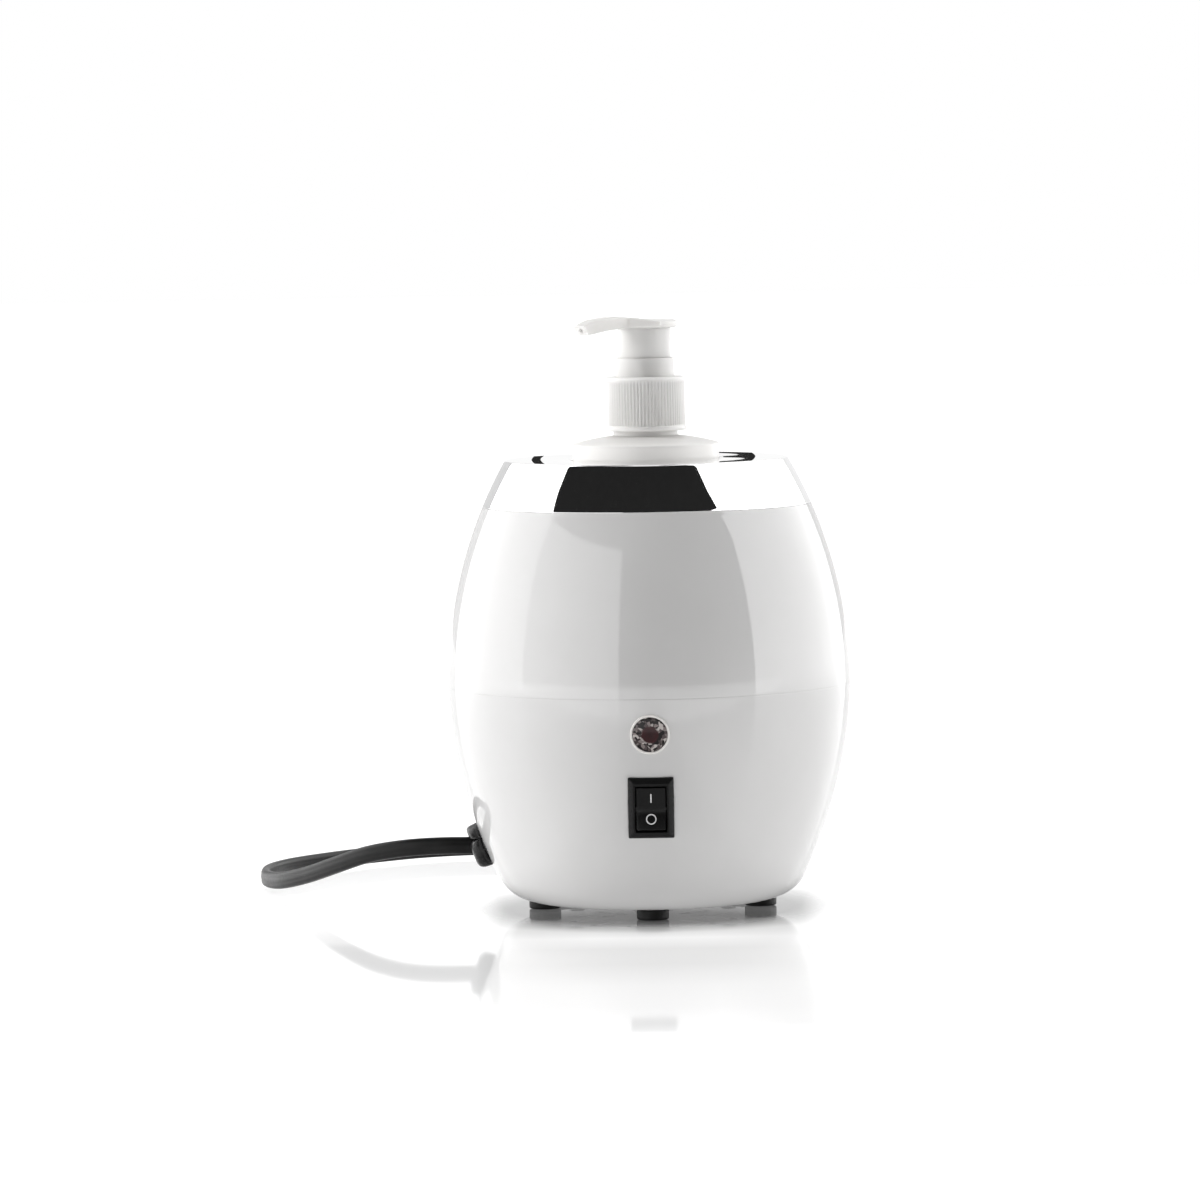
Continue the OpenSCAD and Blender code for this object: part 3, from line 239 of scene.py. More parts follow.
def on_front(height, depth=0.0):
    """Moves local points onto the front of the lower shell: x across, y up along the shell, z out of it."""
    tilt = np.arcsin((LOWER_Z - height) / LOWER_CURVE)
    reach = lower_radius(height)

    def place(p):
        """Turns y and z by the tilt of the shell there, and adds the place."""
        out, up = turned(p[:, 2] - depth, p[:, 1], tilt)
        return np.stack([p[:, 0], -reach - out, height + up], 1)
    return place


def on_left(p):
    """Moves local points onto the left of the lower shell, at the bushing: x up along it, z out of it."""
    tilt = np.arcsin((LOWER_Z - BUSHING_Z) / LOWER_CURVE)
    out, up = turned(p[:, 2], p[:, 0], tilt)
    return np.stack([-lower_radius(BUSHING_Z) - out, p[:, 1], BUSHING_Z + up], 1)


def about(angle, radius, lift=0.0):
    """Moves local points out by a radius, turned by an angle round the axis and lifted."""

    def place(p):
        """Adds the radius to x, then turns x and y and adds the lift to z."""
        x, y = turned(p[:, 0] + radius, p[:, 1], -radians(angle))
        return np.stack([x, y, p[:, 2] + lift], 1)
    return place


def then(first, second):
    """One move after another."""
    return lambda p: second(first(p))


def rocked(p):
    """Tips local points of the switch about the rocker's axle, into the position at rest."""
    y, z = turned(p[:, 1], p[:, 2] - ROCKER_PIVOT, radians(ROCKER_TILT))
    return np.stack([p[:, 0], y, ROCKER_PIVOT + z], 1)


def round_box(half_w, half_h, corner, steps=6):
    """A rounded rectangle as a loop: corner centres plus a quarter circle of points at each of them."""
    a = np.linspace(0, np.pi / 2, steps)[None, :] + np.arange(4)[:, None] * np.pi / 2
    sx, sy = np.array([1, -1, -1, 1])[:, None], np.array([1, 1, -1, -1])[:, None]
    x = sx * (half_w - corner) + corner * np.cos(a)
    y = sy * (half_h - corner) + corner * np.sin(a)
    return np.stack([x.reshape(-1), y.reshape(-1)], 1)


def stacked(loops):
    """A grid of loops (x, y) at their own heights: [(loop, z), ...] becomes rows of points."""
    return np.stack([np.column_stack([loop, np.full(len(loop), z)]) for loop, z in loops])


def slab(outline, half, lip, plane="yz"):
    """Rows of a closed outline from one side to the other, drawn in a little at both ends and closed there."""
    centre = outline.mean(0)
    inner = centre + (outline - centre) * (1 - lip / np.abs(outline - centre).max())
    middle = centre + 0 * outline
    rows = stacked([(middle, -half), (inner, -half), (outline, lip - half), (outline, half - lip), (inner, half),
                    (middle, half)])
    return np.roll(rows, 1, -1) if plane == "yz" else rows


def smooth_path(points, steps):
    """A curve through points, by the cubic whose slope at each is half the step between its neighbours."""
    p = np.asarray(points, float)
    a, b = np.concatenate([p[:1], p[:-2]]), p[:-1]
    c, d = p[1:], np.concatenate([p[2:], p[-1:]])
    t = (np.arange(steps) / steps)[None, :, None]
    a, b, c, d = (q[:, None] for q in (a, b, c, d))
    curve = 0.5 * (2 * b + (c - a) * t + (2 * a - 5 * b + 4 * c - d) * t ** 2
                   + (3 * b - a - 3 * c + d) * t ** 3)
    return np.concatenate([curve.reshape(-1, 3), p[-1:]])


def swept(path, section):
    """Carries a section (side, up) along a path: each row is the path point plus side and up directions."""
    ahead = np.gradient(path, axis=0)
    ahead /= np.linalg.norm(ahead, axis=1, keepdims=True)
    up = np.array([0.0, 0.0, 1.0]) - ahead * ahead[:, 2:]
    up /= np.linalg.norm(up, axis=1, keepdims=True)
    side = np.cross(ahead, up)
    return path[:, None] + side[:, None] * section[None, :, :1] + up[:, None] * section[None, :, 1:]


def ends_closed(rows):
    """The same rows with one point, repeated, at each end."""
    first, last = rows[:1].mean(1, keepdims=True), rows[-1:].mean(1, keepdims=True)
    return np.concatenate([np.broadcast_to(first, rows[:1].shape), rows,
                           np.broadcast_to(last, rows[-1:].shape)])


# Finishes

def fill(tree, node, sockets):
    """Sets sockets of a node, by name or number, each to a plain value or to the output of another node."""
    for key, value in sockets.items():
        if hasattr(value, "is_output"):
            tree.links.new(value, node.inputs[key])
        else:
            node.inputs[key].default_value = value


def new_node(tree, kind, sockets, **settings):
    """A node of a kind, with its settings and sockets."""
    node = tree.nodes.new("ShaderNode" + kind)
    for key, value in settings.items():
        setattr(node, key, value)
    fill(tree, node, sockets)
    return node


def parts_of(material):
    """A finish's tree, its Principled shader and the piece's own coordinates."""
    tree = material.node_tree
    return tree, tree.nodes["Principled BSDF"], tree.nodes["Texture Coordinate"].outputs["Object"]


def new_finish(name):
    """A material with a Principled shader and the piece's own coordinates."""
    material = bpy.data.materials.new(name)
    material.use_nodes = True
    new_node(material.node_tree, "TexCoord", {})
    return (material, *parts_of(material))


def grain(tree, place, scale, detail=3.0, stretch=(1, 1, 1)):
    """Noise of a given number of grains in a metre, drawn out along the axes by a stretch."""
    drawn = new_node(tree, "Mapping", {"Vector": place, "Scale": stretch}).outputs["Vector"]
    return new_node(tree, "TexNoise", {"Vector": drawn, "Scale": scale, "Detail": detail}).outputs["Fac"]


def shades(tree, value, stops):
    """A colour by a value, from stops (value, colour)."""
    ramp = new_node(tree, "ValToRGB", {"Fac": value})
    marks = ramp.color_ramp.elements
    for where, colour in stops[2:]:
        marks.new(where)
    for mark, (where, colour) in zip(marks, stops):
        mark.position = where
        mark.color = (*colour, 1)
    return ramp.outputs["Color"]


def ranged(tree, value, first, last, low, high):
    """A value from first to last becomes a number from low to high, and stays at the ends beyond them."""
    return new_node(tree, "MapRange", {"Value": value, "From Min": first, "From Max": last,
                                       "To Min": low, "To Max": high}).outputs["Result"]


# Most of a noise lies between these values
NOISE_LOW, NOISE_HIGH = 0.3, 0.7


def tint(tree, noise, low, high):
    """A colour between two, by a noise."""
    return shades(tree, noise, [(NOISE_LOW, low), (NOISE_HIGH, high)])


def spread(tree, noise, low, high):
    """A number between two, by a noise."""
    return ranged(tree, noise, NOISE_LOW, NOISE_HIGH, low, high)


def number(tree, operation, first, *others):
    """An operation on values, each an output or a plain number, from left to right."""
    if len(others) > 1:
        return number(tree, operation, number(tree, operation, first, others[0]), *others[1:])
    return new_node(tree, "Math", dict(enumerate((first, *others))), operation=operation).outputs["Value"]


def axes(tree, place):
    """The three coordinates of a place, under X, Y and Z."""
    return new_node(tree, "SeparateXYZ", {"Vector": place}).outputs


def distance(tree, place):
    """How far a place is from the origin."""
    return new_node(tree, "VectorMath", {0: place}, operation="LENGTH").outputs["Value"]


def finish(name, low, high, rough, scale, fine, depth, strength, stretch=(1, 1, 1), **sockets):
    """A finish with a cloudy colour, a roughness that follows a finer noise, and a relief of a depth in metres."""
    material, tree, shader, place = new_finish(name)
    tooth = grain(tree, place, fine, 2.0, stretch)
    fill(tree, shader, {"Base Color": tint(tree, grain(tree, place, scale), low, high),
                        "Roughness": spread(tree, tooth, *rough)})
    if strength:
        relief = new_node(tree, "Bump", {"Height": tooth, "Strength": strength, "Distance": depth})
        fill(tree, shader, {"Normal": relief.outputs["Normal"]})
    fill(tree, shader, {key.replace("_", " "): value for key, value in sockets.items()})
    return material


def painted_glow_by_height(material, first, last, low, high):
    """Painted glow in place of light through milky plastic: one strength up to a first height, another from a last
    one.
    """
    tree, shader, place = parts_of(material)
    fill(tree, shader, {"Emission Strength": ranged(tree, axes(tree, place)["Z"], first, last, low, high)})


def painted_spout_shade(material, height, reach, share, soft=0.0006):
    """Painted shade: a colour times a share above a height and beyond a reach from the pump's axis, on the spout
    and its plate.
    """
    tree, shader, place = parts_of(material)
    x, y, z = axes(tree, place)
    squares = [number(tree, "MULTIPLY", axis, axis) for axis in (x, y)]
    away = number(tree, "SQRT", number(tree, "ADD", *squares))
    level = number(tree, "MINIMUM", ranged(tree, z, height, height + soft, 1.0, share),
                   ranged(tree, away, reach, reach + soft, 1.0, share))
    colour = shader.inputs["Base Color"].links[0].from_socket
    shade = new_node(tree, "HueSaturation", {"Color": colour, "Value": level})
    fill(tree, shader, {"Base Color": shade.outputs["Color"]})


def grey(value, warm=0.0):
    """A grey, with a little more red and less blue."""
    return (value * (1 + warm), value, value * (1 - warm))


white_gloss = finish("white_gloss_shell", (0.622, 0.618, 0.615), (0.64, 0.636, 0.633), (0.05, 0.075), 35, 220,
                     4e-6, 0.05, Coat_Weight=0.25, Coat_Roughness=0.04)
chrome = finish("chrome_plate", grey(0.86), grey(0.9), (0.015, 0.035), 60, 300, 1e-6, 0.0, Metallic=1.0)
foot_rubber = finish("foot_rubber", grey(0.004), grey(0.008), (0.45, 0.6), 200, 1500, 3e-5, 0.3,
                     Specular_IOR_Level=0.3)
cord_rubber = finish("cord_sheath", grey(0.003), grey(0.007), (0.3, 0.42), 120, 1400, 2e-5, 0.25,
                     Specular_IOR_Level=0.2)
plug_rubber = finish("plug_moulding", grey(0.008), grey(0.014), (0.4, 0.5), 120, 1200, 3e-5, 0.4)
switch_black = finish("switch_frame_plastic", grey(0.005), grey(0.008), (0.26, 0.34), 160, 2200, 1e-5, 0.15,
                      Specular_IOR_Level=0.16)
rocker_black = finish("rocker_plastic", grey(0.003), grey(0.005), (0.2, 0.26), 160, 2200, 8e-6, 0.2,
                      Specular_IOR_Level=0.2)
mark_white = finish("switch_mark_print", grey(0.62), grey(0.74), (0.4, 0.5), 900, 3000, 5e-6, 0.2)
bushing_black = finish("bushing_nylon", grey(0.006), grey(0.011), (0.25, 0.36), 150, 1600, 1e-5, 0.25)
tie_black = finish("tie_plastic", grey(0.012), grey(0.02), (0.35, 0.45), 150, 1400, 1e-5, 0.3)
steel = finish("bright_steel", grey(0.5), grey(0.62), (0.22, 0.34), 120, 1500, 4e-6, 0.25, (1, 1, 0.1),
               Metallic=1.0)
well_metal = finish("spun_well", grey(0.62), grey(0.72), (0.22, 0.36), 60, 700, 8e-6, 0.3, (0.05, 0.05, 6),
                    Metallic=1.0)
brass = finish("brass_blade", (0.55, 0.4, 0.17), (0.66, 0.5, 0.22), (0.25, 0.36), 150, 1500, 4e-6, 0.2,
               Metallic=1.0)
heater_red = finish("heater_mat", (0.42, 0.1, 0.035), (0.55, 0.15, 0.05), (0.5, 0.65), 90, 1200, 6e-5, 0.5)
felt = finish("insulation_felt", (0.62, 0.57, 0.45), (0.78, 0.73, 0.6), (0.85, 0.98), 160, 1800, 3e-4, 0.8,
              (1, 1, 0.35))
phenolic = finish("brown_phenolic", (0.09, 0.035, 0.018), (0.14, 0.06, 0.03), (0.45, 0.6), 180, 1500, 3e-5, 0.4)
block_white = finish("terminal_block_plastic", grey(0.66), grey(0.74), (0.35, 0.45), 120, 1400, 1e-5, 0.3)
wire_brown, wire_blue, wire_black, wire_pale = (
    finish(colour + "_wire_cover", low, high, (0.35, 0.45), 200, 1500, 1e-5, 0.3) for colour, low, high in (
        ("brown", (0.15, 0.055, 0.02), (0.2, 0.08, 0.03)), ("blue", (0.03, 0.11, 0.38), (0.05, 0.15, 0.46)),
        ("black", grey(0.01), grey(0.018)), ("pale", grey(0.5, 0.02), grey(0.6, 0.02))))
# The bottle's emission colour and strength are a painted glow, stronger below the shoulder than above it
bottle_white = finish("bottle_plastic", (0.68, 0.67, 0.655), (0.7, 0.69, 0.674), (0.285, 0.3), 30, 40, 1e-5, 0.0,
                      Specular_IOR_Level=0.35, Emission_Color=(1, 0.99, 0.97, 1))
painted_glow_by_height(bottle_white, (SHOULDER_Z - 1) * MM, (SHOULDER_Z + 1) * MM, 0.2, 0.05)
# The head's finish is the pump's own, with painted shade added on the spout and its plate
pump_white, head_white_shaded = (
    finish(name, (0.9, 0.885, 0.862), (0.93, 0.915, 0.892), (0.28, 0.3), 60, 60, 1e-5, 0.0,
           Subsurface_Weight=0.6, Subsurface_Scale=0.006, Subsurface_Radius=(1, 1, 1))
    for name in ("pump_plastic", "head_plastic_painted_shade"))
painted_spout_shade(head_white_shaded, (HEAD_Z + 0.2) * MM, 8.6 * MM, 0.8)
seal_grey = finish("seal_rubber", grey(0.42), grey(0.5), (0.5, 0.6), 200, 1500, 2e-5, 0.35)
lamp_rim_clear = finish("lamp_rim_plastic", grey(0.74, 0.03), grey(0.82, 0.03), (0.12, 0.2), 300, 1500, 5e-6, 0.2)
neon_glass = finish("neon_glass", (0.75, 0.45, 0.25), (0.85, 0.55, 0.3), (0.04, 0.08), 300, 900, 1e-6, 0.0,
                    Transmission_Weight=0.7)


def lens_finish():
    """The lamp's lens: a dark red core in a nearly black ring of facets, each facet in a tone of its own.

    The tone comes from cells in the lens's own frame: most nearly black, the lighter ones painted reflections and
    the palest painted glints. The core's colour comes from the distance to its middle.
    """
    material, tree, shader, place = new_finish("lamp_lens_plastic")
    centre = on_front(LAMP_Z)(np.zeros((1, 3)))[0] * MM
    local = new_node(tree, "Mapping", {"Vector": place, "Location": -centre}).outputs["Vector"]
    away = distance(tree, local)
    cells = new_node(tree, "TexVoronoi", {"Vector": local, "Scale": 1000}).outputs["Color"]
    bright = new_node(tree, "SeparateColor", {"Color": cells}).outputs["Red"]
    # Painted reflections and glints: the cells' lighter stops, and the palest from 0.89 on
    ring = shades(tree, bright, [
        (0.0, (0.008, 0.006, 0.006)), (0.36, (0.012, 0.009, 0.009)), (0.4, (0.055, 0.042, 0.042)),
        (0.62, (0.09, 0.07, 0.07)), (0.66, (0.19, 0.165, 0.16)), (0.86, (0.24, 0.2, 0.195)),
        (0.89, (0.52, 0.48, 0.46))])
    heart = shades(tree, away, [
        (0.0, (0.014, 0.001, 0.002)), (0.0007, (0.03, 0.002, 0.004)), (0.0013, (0.11, 0.018, 0.022)),
        (0.0018, (0.05, 0.006, 0.009)), (0.0024, (0.13, 0.03, 0.034)), (0.003, (0.05, 0.01, 0.012))])
    core = ranged(tree, away, 0.0026, 0.0032, 0.0, 1.0)
    # Sockets 6 and 7 take the two colours, and output 2 is the mixed one
    mix = new_node(tree, "Mix", {"Factor": core, 6: heart, 7: ring}, data_type="RGBA")
    fill(tree, shader, {"Base Color": mix.outputs[2], "Roughness": 0.08, "Specular IOR Level": 0.25})
    return material


lamp_red = lens_finish()

# Camera, at the place the photograph was taken from
CAMERA_MM = (4.051, -2173.28, 255.08)
CAMERA_YAW, CAMERA_PITCH, CAMERA_ROLL = 0.00929, -0.06963, -0.01627
CAMERA_FOCUS, FRAME_PIXELS, SENSOR_MM = 6499.1, 1200, 36.0


def looking(right, up, ahead, place):
    """A matrix that looks ahead from a place: its columns are right, up, the way back and the place."""
    turn = np.eye(4)
    turn[:3] = np.stack([right, up, np.negative(ahead), place], 1)
    return Matrix(turn.tolist())


def aim_camera():
    """Turns right, ahead and up by yaw, pitch and roll in that order, and sets the lens from pixels."""
    right, ahead, up = np.eye(3)
    right, ahead = turned(right, ahead, CAMERA_YAW)
    ahead, up = turned(ahead, up, CAMERA_PITCH)
    right, up = turned(right, up, CAMERA_ROLL)
    data = bpy.data.cameras.new("camera")
    data.sensor_width = SENSOR_MM
    data.lens = CAMERA_FOCUS / FRAME_PIXELS * SENSOR_MM
    data.clip_end = 40
    camera = placed("camera", data)
    camera.matrix_world = looking(right, up, ahead, np.array(CAMERA_MM) * MM)
    bpy.context.scene.camera = camera


aim_camera()


# Cord

def coil_points(rings=48):
    """The coil's line: it winds in, climbs a layer in the half turn where it reverses, and winds out.

    Angle falls from 90 degrees by a turn at a time; radius is the outer one less a pitch for each turn in.
    """
    half = COIL_TURNS + 0.25
    turn = np.arange(int(round(2 * half * rings)) + 1) / rings
    a = np.pi / 2 - TURN * turn
    r = COIL_R - COIL_PITCH * (half - np.abs(turn - half))
    climb = np.clip((turn - COIL_TURNS) * 2, 0, 1)
    climb = climb * climb * (3 - 2 * climb)
    return np.stack([r * np.cos(a), COIL_Y + r * np.sin(a), COIL_Z + COIL_RISE * climb], 1)


def flat_lead(count=40):
    """Section of the flat twin lead: an oval with straighter sides and two shallow grooves on each face.

    Half sizes times a power of cosine and sine, less a groove at a third of the width above and below.
    """
    a = angles(count)
    side, up = CORD_T / 2 * squarer(np.cos(a), 0.7), CORD_W / 2 * squarer(np.sin(a), 0.8)
    groove = 0.16 * np.exp(-((np.abs(up) - 0.95) / 0.34) ** 2)
    return np.stack([side * (1 - groove * (np.abs(side) > 0.4) / (CORD_T / 2)), up], 1)


def make_cord():
    """One tube from inside the bushing through the lead, the coil and the tail to the plug."""
    path = np.concatenate([smooth_path(LEAD_ROUTE, 10), coil_points(), smooth_path(TAIL_ROUTE, 8)])
    rows = ends_closed(swept(path, flat_lead()))
    piece = Shape().grid(rows).made(
        "mains_cord", "base", "black_rubber", cord_rubber, ("cord_lead", "cord_coil", "cord_tail"), 60)
    length = np.linalg.norm(np.diff(path, axis=0), axis=1).sum() * MM
    return piece, path * MM, length


mains_cord, cord_path, cord_length = make_cord()


def make_plug():
    """The flat plug: its plan outline with eased corners, as a slab with a drawn-in lip above and below."""
    tail, half = CORD_T / 2 + 2.2, 17.6
    plan = eased(line((-tail, 0), (tail, 0), (tail, 8), (12, 16), (half, 23), (half, 34), (half - 3, PLUG_LENGTH),
                      (3 - half, PLUG_LENGTH), (-half, 34), (-half, 23), (-12, 16), (-tail, 8)), 3.0, 7)
    shape = Shape().grid(slab(plan, PLUG_T / 2, 1.6, "xy") + (PLUG_X, PLUG_Y, PLUG_T / 2))
    rib = slab(eased(line((5.5, -0.5), (11.5, -0.5), (11.5, 0.5), (5.5, 0.5)), 0.5, 4), 0.25, 0.12, "xy")
    for side in (-1, 1):
        for step in range(4):
            shape.grid(rib * (side, 1, 1) + (PLUG_X, PLUG_Y + 19 + 3.2 * step, PLUG_T - 0.3))
    return shape.made("plug_moulded", "base", "black_rubber", plug_rubber, ("plug_body",))


def make_pins():
    """Two round pins: a spun outline with an eased tip, laid along the plug."""
    outline = eased(line((0, 0), (2, 0), (2, 18.2), (1, 19), (0, 19)), 0.4, 5, False)
    shape = Shape()
    for x in (PLUG_X - PIN_X, PLUG_X + PIN_X):
        shape.spun(outline, 48, False, lambda p, x=x: np.stack(
            [x + p[:, 0], PLUG_Y + PLUG_LENGTH + p[:, 2], PLUG_T / 2 - p[:, 1]], 1))
    return shape.made("plug_pins_round", "base", "steel", steel, ("plug_pins",))


def make_tie():
    """The tie round the coil: a flat band carried round a rounded rectangle."""
    in_r, out_r = COIL_R - 3 * COIL_PITCH - CORD_T / 2 - 0.3, COIL_R + CORD_T / 2 + 0.3
    half_x, half_z, half_y, thick = (out_r - in_r) / 2, 6.4, 2.5, 0.5
    loops = [(round_box(half_x + grow, half_z + grow, 1.0 + grow), y)
             for grow, y in ((0, -half_y), (thick, -half_y), (thick, half_y), (0, half_y))]
    shape = Shape().grid(stacked(loops), True, True, place=lambda p: np.stack(
        [(in_r + out_r) / 2 + p[:, 0], COIL_Y + p[:, 2], half_z + thick + p[:, 1]], 1))
    return shape.made("cord_tie_band", "base", "black_plastic", tie_black, ("cord_tie",))


cord_plug, cord_pins, cord_tie = make_plug(), make_pins(), make_tie()
# The lead comes free of the bushing at the third point of its route, which is number 20 of the path
tuple(cord_path[20])


# Casing

def make_upper_shell():
    """The upper half of the barrel: its wall as a closed outline, spun, with the four screw posts inside."""
    outline = np.concatenate([
        line((BODY_R - WALL, 72.65), (BODY_R - 1.4, 72.65), (BODY_R - 1.4, SEAM_Z + SEAM_GAP)),
        arc(BODY_R - SEAM_LIP, SEAM_Z + SEAM_GAP + SEAM_LIP, SEAM_LIP, -90, 0, 6),
        bulge(upper_radius, SEAM_Z + 0.6, RING_BASE - 0.6, 0, 64),
        arc(upper_radius(RING_BASE - 0.5) - 0.6, RING_BASE - 0.55, 0.6, 24, 90, 7),
        bulge(upper_radius, RING_BASE, DECK_Z, NECK_INSET, 8),
        line((WELL_OUT + 0.3, DECK_Z), (WELL_OUT + 0.3, DECK_Z - WALL)),
        bulge(upper_radius, DECK_Z - WALL, RING_BASE - 2 * WALL, NECK_INSET + WALL, 8),
        bulge(upper_radius, RING_BASE - 3 * WALL, SEAM_Z, WALL, 32)])
    post = eased(line((1.45, 6.4), (3.7, 6.4), (3.7, DECK_Z - WALL), (1.45, DECK_Z - WALL)), 0.2, 3)
    shape = Shape().spun(outline, BODY_SPOKES).at_corners(post, 32, True, 45, POST_R)
    return shape.made("barrel_upper", "base", "shell_white", white_gloss, ("upper_shell",))


def make_lower_shell():
    """The lower half: a spun skin from the middle of the floor up to the seam, then thickened inwards.

    Faces are left out where the switch, the lamp, the bushing and the vents go through: a face goes if its
    middle lies within a box or a distance of theirs.
    """
    floor_r = np.concatenate([[0, 6, 12, 17.6, 20.6, 23.6, 26.6, 30], np.linspace(33, CORNER_C, 4)[:-1]])
    outline = np.concatenate([
        np.stack([floor_r, np.full(len(floor_r), FOOT_H)], 1),
        arc(CORNER_C, CORNER_Z, CORNER_R, -90, CORNER_END, 22)[:-1],
        bulge(lower_radius, CORNER_Z + CORNER_R * np.sin(np.radians(CORNER_END)), SEAM_Z - 0.6, 0, 52),
        arc(BODY_R - SEAM_LIP, SEAM_Z - SEAM_GAP - SEAM_LIP, SEAM_LIP, 0, 90, 6),
        line((BODY_R - 1.25, SEAM_Z - SEAM_GAP))])
    r, height = ((outline[1:] + outline[:-1]) / 2).T
    a = angles(BODY_SPOKES) + TURN / BODY_SPOKES / 2
    x, y, z = np.moveaxis(around(r, a, height), -1, 0)
    switch = (np.abs(x) < SWITCH_HOLE_W) & (y < 0) & (np.abs(z - SWITCH_Z) < SWITCH_HOLE_H)
    lamp = (np.hypot(x, z - LAMP_Z) < LAMP_HOLE_R) & (y < 0)
    bushing = (np.hypot(y, (z - BUSHING_Z) / np.cos(radians(BUSHING_LEAN))) < BUSHING_HOLE_R) & (x < 0)
    slot = np.abs(np.degrees(a)[:, None] % VENT_STEP - VENT_STEP / 2) < VENT_ANGLE
    vent = slot & (z < FOOT_H + 0.1) & (np.abs(r - VENT_R) < VENT_REACH)
    shape = Shape().spun(outline, BODY_SPOKES, False, keep=~(switch | lamp | bushing | vent))
    piece = shape.made("barrel_lower", "base", "shell_white", white_gloss, ("lower_shell",), outward=False)
    wall = piece.modifiers.new("wall", "SOLIDIFY")
    wall.thickness, wall.offset = WALL * MM, -1
    return piece


def make_ring():
    """The chrome collar: a closed outline with an eased upper edge and a turned-in mouth, spun."""
    rim = RING_TOP - 0.53 * RING_EDGE
    under = RING_TOP - RING_PLATE
    lean = np.arcsin((rim - SEAM_Z) / UPPER_CURVE)
    edge = arc(upper_radius(rim) - RING_EDGE * np.cos(lean), rim - RING_EDGE * np.sin(lean), RING_EDGE,
               np.degrees(lean), 90, 12)
    outline = np.concatenate([
        arc(upper_radius(RING_BASE + 0.2) - 0.15, RING_BASE + 0.2, 0.15, -90, 10, 6),
        bulge(upper_radius, RING_BASE + 0.3, rim - 0.05, 0, 24), edge[1:],
        arc(MOUTH_R + 0.4, RING_TOP - 0.4, 0.4, 90, 180, 6), arc(MOUTH_R + 0.4, under + 0.4, 0.4, 180, 270, 6),
        bulge(upper_radius, under, RING_BASE + 0.1, RING_WALL, 16)])
    return Shape().spun(outline, BODY_SPOKES).made("mouth_ring", "base", "chrome", chrome, ("chrome_ring",))


def make_feet():
    """Four rubber feet: an eased outline, spun at a quarter turn from one another."""
    outline = eased(line((0, 0), (5.35, 0), (5.35, 3.3), (2.4, 3.3), (2.4, 6), (3.1, 6), (2.4, 7.5), (0, 7.5)),
                    (0, 0.7, 0.3, 0.1, 0.1, 0.2, 0.3, 0), 6, False)
    shape = Shape().at_corners(outline, 64, False, 0, FOOT_R)
    return shape.made("feet_rubber", "base", "black_rubber", foot_rubber, ("rubber_feet",))


def make_screws():
    """Four screws: an eased head just proud of the floor, and a shank, spun in their posts."""
    outline = eased(line((0, 3.15), (2.5, 3.2), (2.8, 3.6), (1.4, 4.9), (1.4, 19.2), (0, 19.4)),
                    (0, 0.3, 0.2, 0.2, 0.3, 0), 4, False)
    shape = Shape().at_corners(outline, 40, False, 45, POST_R)
    return shape.made("floor_screws", "base", "steel", steel, ("shell_screws",))


def make_well():
    """The spun metal well with its flange, as a closed outline with eased corners, and its two studs."""
    flange_r, flange_z, under = 33, DECK_Z + 0.9, WELL_FLOOR - 1
    outline = eased(line((0, under), (WELL_R - 1, under), (WELL_OUT, under + 2), (WELL_OUT, DECK_Z),
                         (flange_r, DECK_Z), (flange_r, flange_z), (WELL_R, flange_z), (WELL_R, WELL_FLOOR + 2),
                         (WELL_R - 2, WELL_FLOOR), (0, WELL_FLOOR)),
                    (0, 0.8, 0.8, 0.3, 0.3, 0.3, 0.6, 0.8, 0.8, 0), 5, False)
    shape = Shape().spun(outline, 160, False)
    stud = line((0, 19.6), (1.5, 19.6), (1.5, 27.9), (0, 27.9))
    for x in (-13, 13):
        shape.spun(stud, 32, False, lambda p, x=x: p + (x, 0, 0))
    return shape.made("well_spun", "base", "well_metal", well_metal, ("well_cup",))


def make_bushing(name, node, low, high, tall, first, last):
    """Half of the cord bushing: a rounded lobe outside the shell, and part of a spun shank through it.

    Along the lobe its height is that of a rounded arch between its two ends, its half width that of a circle,
    and each section is a superellipse.
    """
    x = np.linspace(low, high, 41)
    away = np.abs((x - (low + high) / 2) / ((high - low) / 2))
    rise = tall * np.maximum(1 - away ** 5, 0) ** (1 / 2.6)
    half = np.sqrt(np.maximum(7.55 ** 2 - x ** 2, 1.0))
    a = angles(48)
    y = half[:, None] * squarer(np.cos(a), 0.55)
    z = rise[:, None] / 2 + (rise[:, None] + 0.4) / 2 * squarer(np.sin(a), 0.55) - 0.2
    rows = np.stack([np.broadcast_to(x[:, None], y.shape), y, z], -1)
    shape = Shape().grid(ends_closed(rows), place=on_left)
    outline = eased(line((0, -8), (5.65, -8), (6.9, -4.6), (6.9, -3.4), (6.25, -3.4), (6.25, 0.1), (0, 0.1)),
                    (0, 0.4, 0.3, 0.1, 0.1, 0.1, 0), 4, False)
    points = around(outline[:, 0], np.radians(np.linspace(first, last, 40)), outline[:, 1])
    flat = points * (0, 0, 1)
    shape.grid(np.concatenate([flat[:1], points, flat[-1:]]), False, False, place=on_left)
    return shape.made(name, "base", "black_plastic", bushing_black, (node,), 40)


for maker in (make_upper_shell, make_lower_shell, make_ring, make_feet, make_screws, make_well):
    maker()
make_bushing("bushing_lower", "strain_relief", -7.5, 2.9, 4.6, 91, 269)
make_bushing("bushing_upper", "strain_wedge", 3.1, 7.6, 3.8, -89, 89)


# Switch and lamp

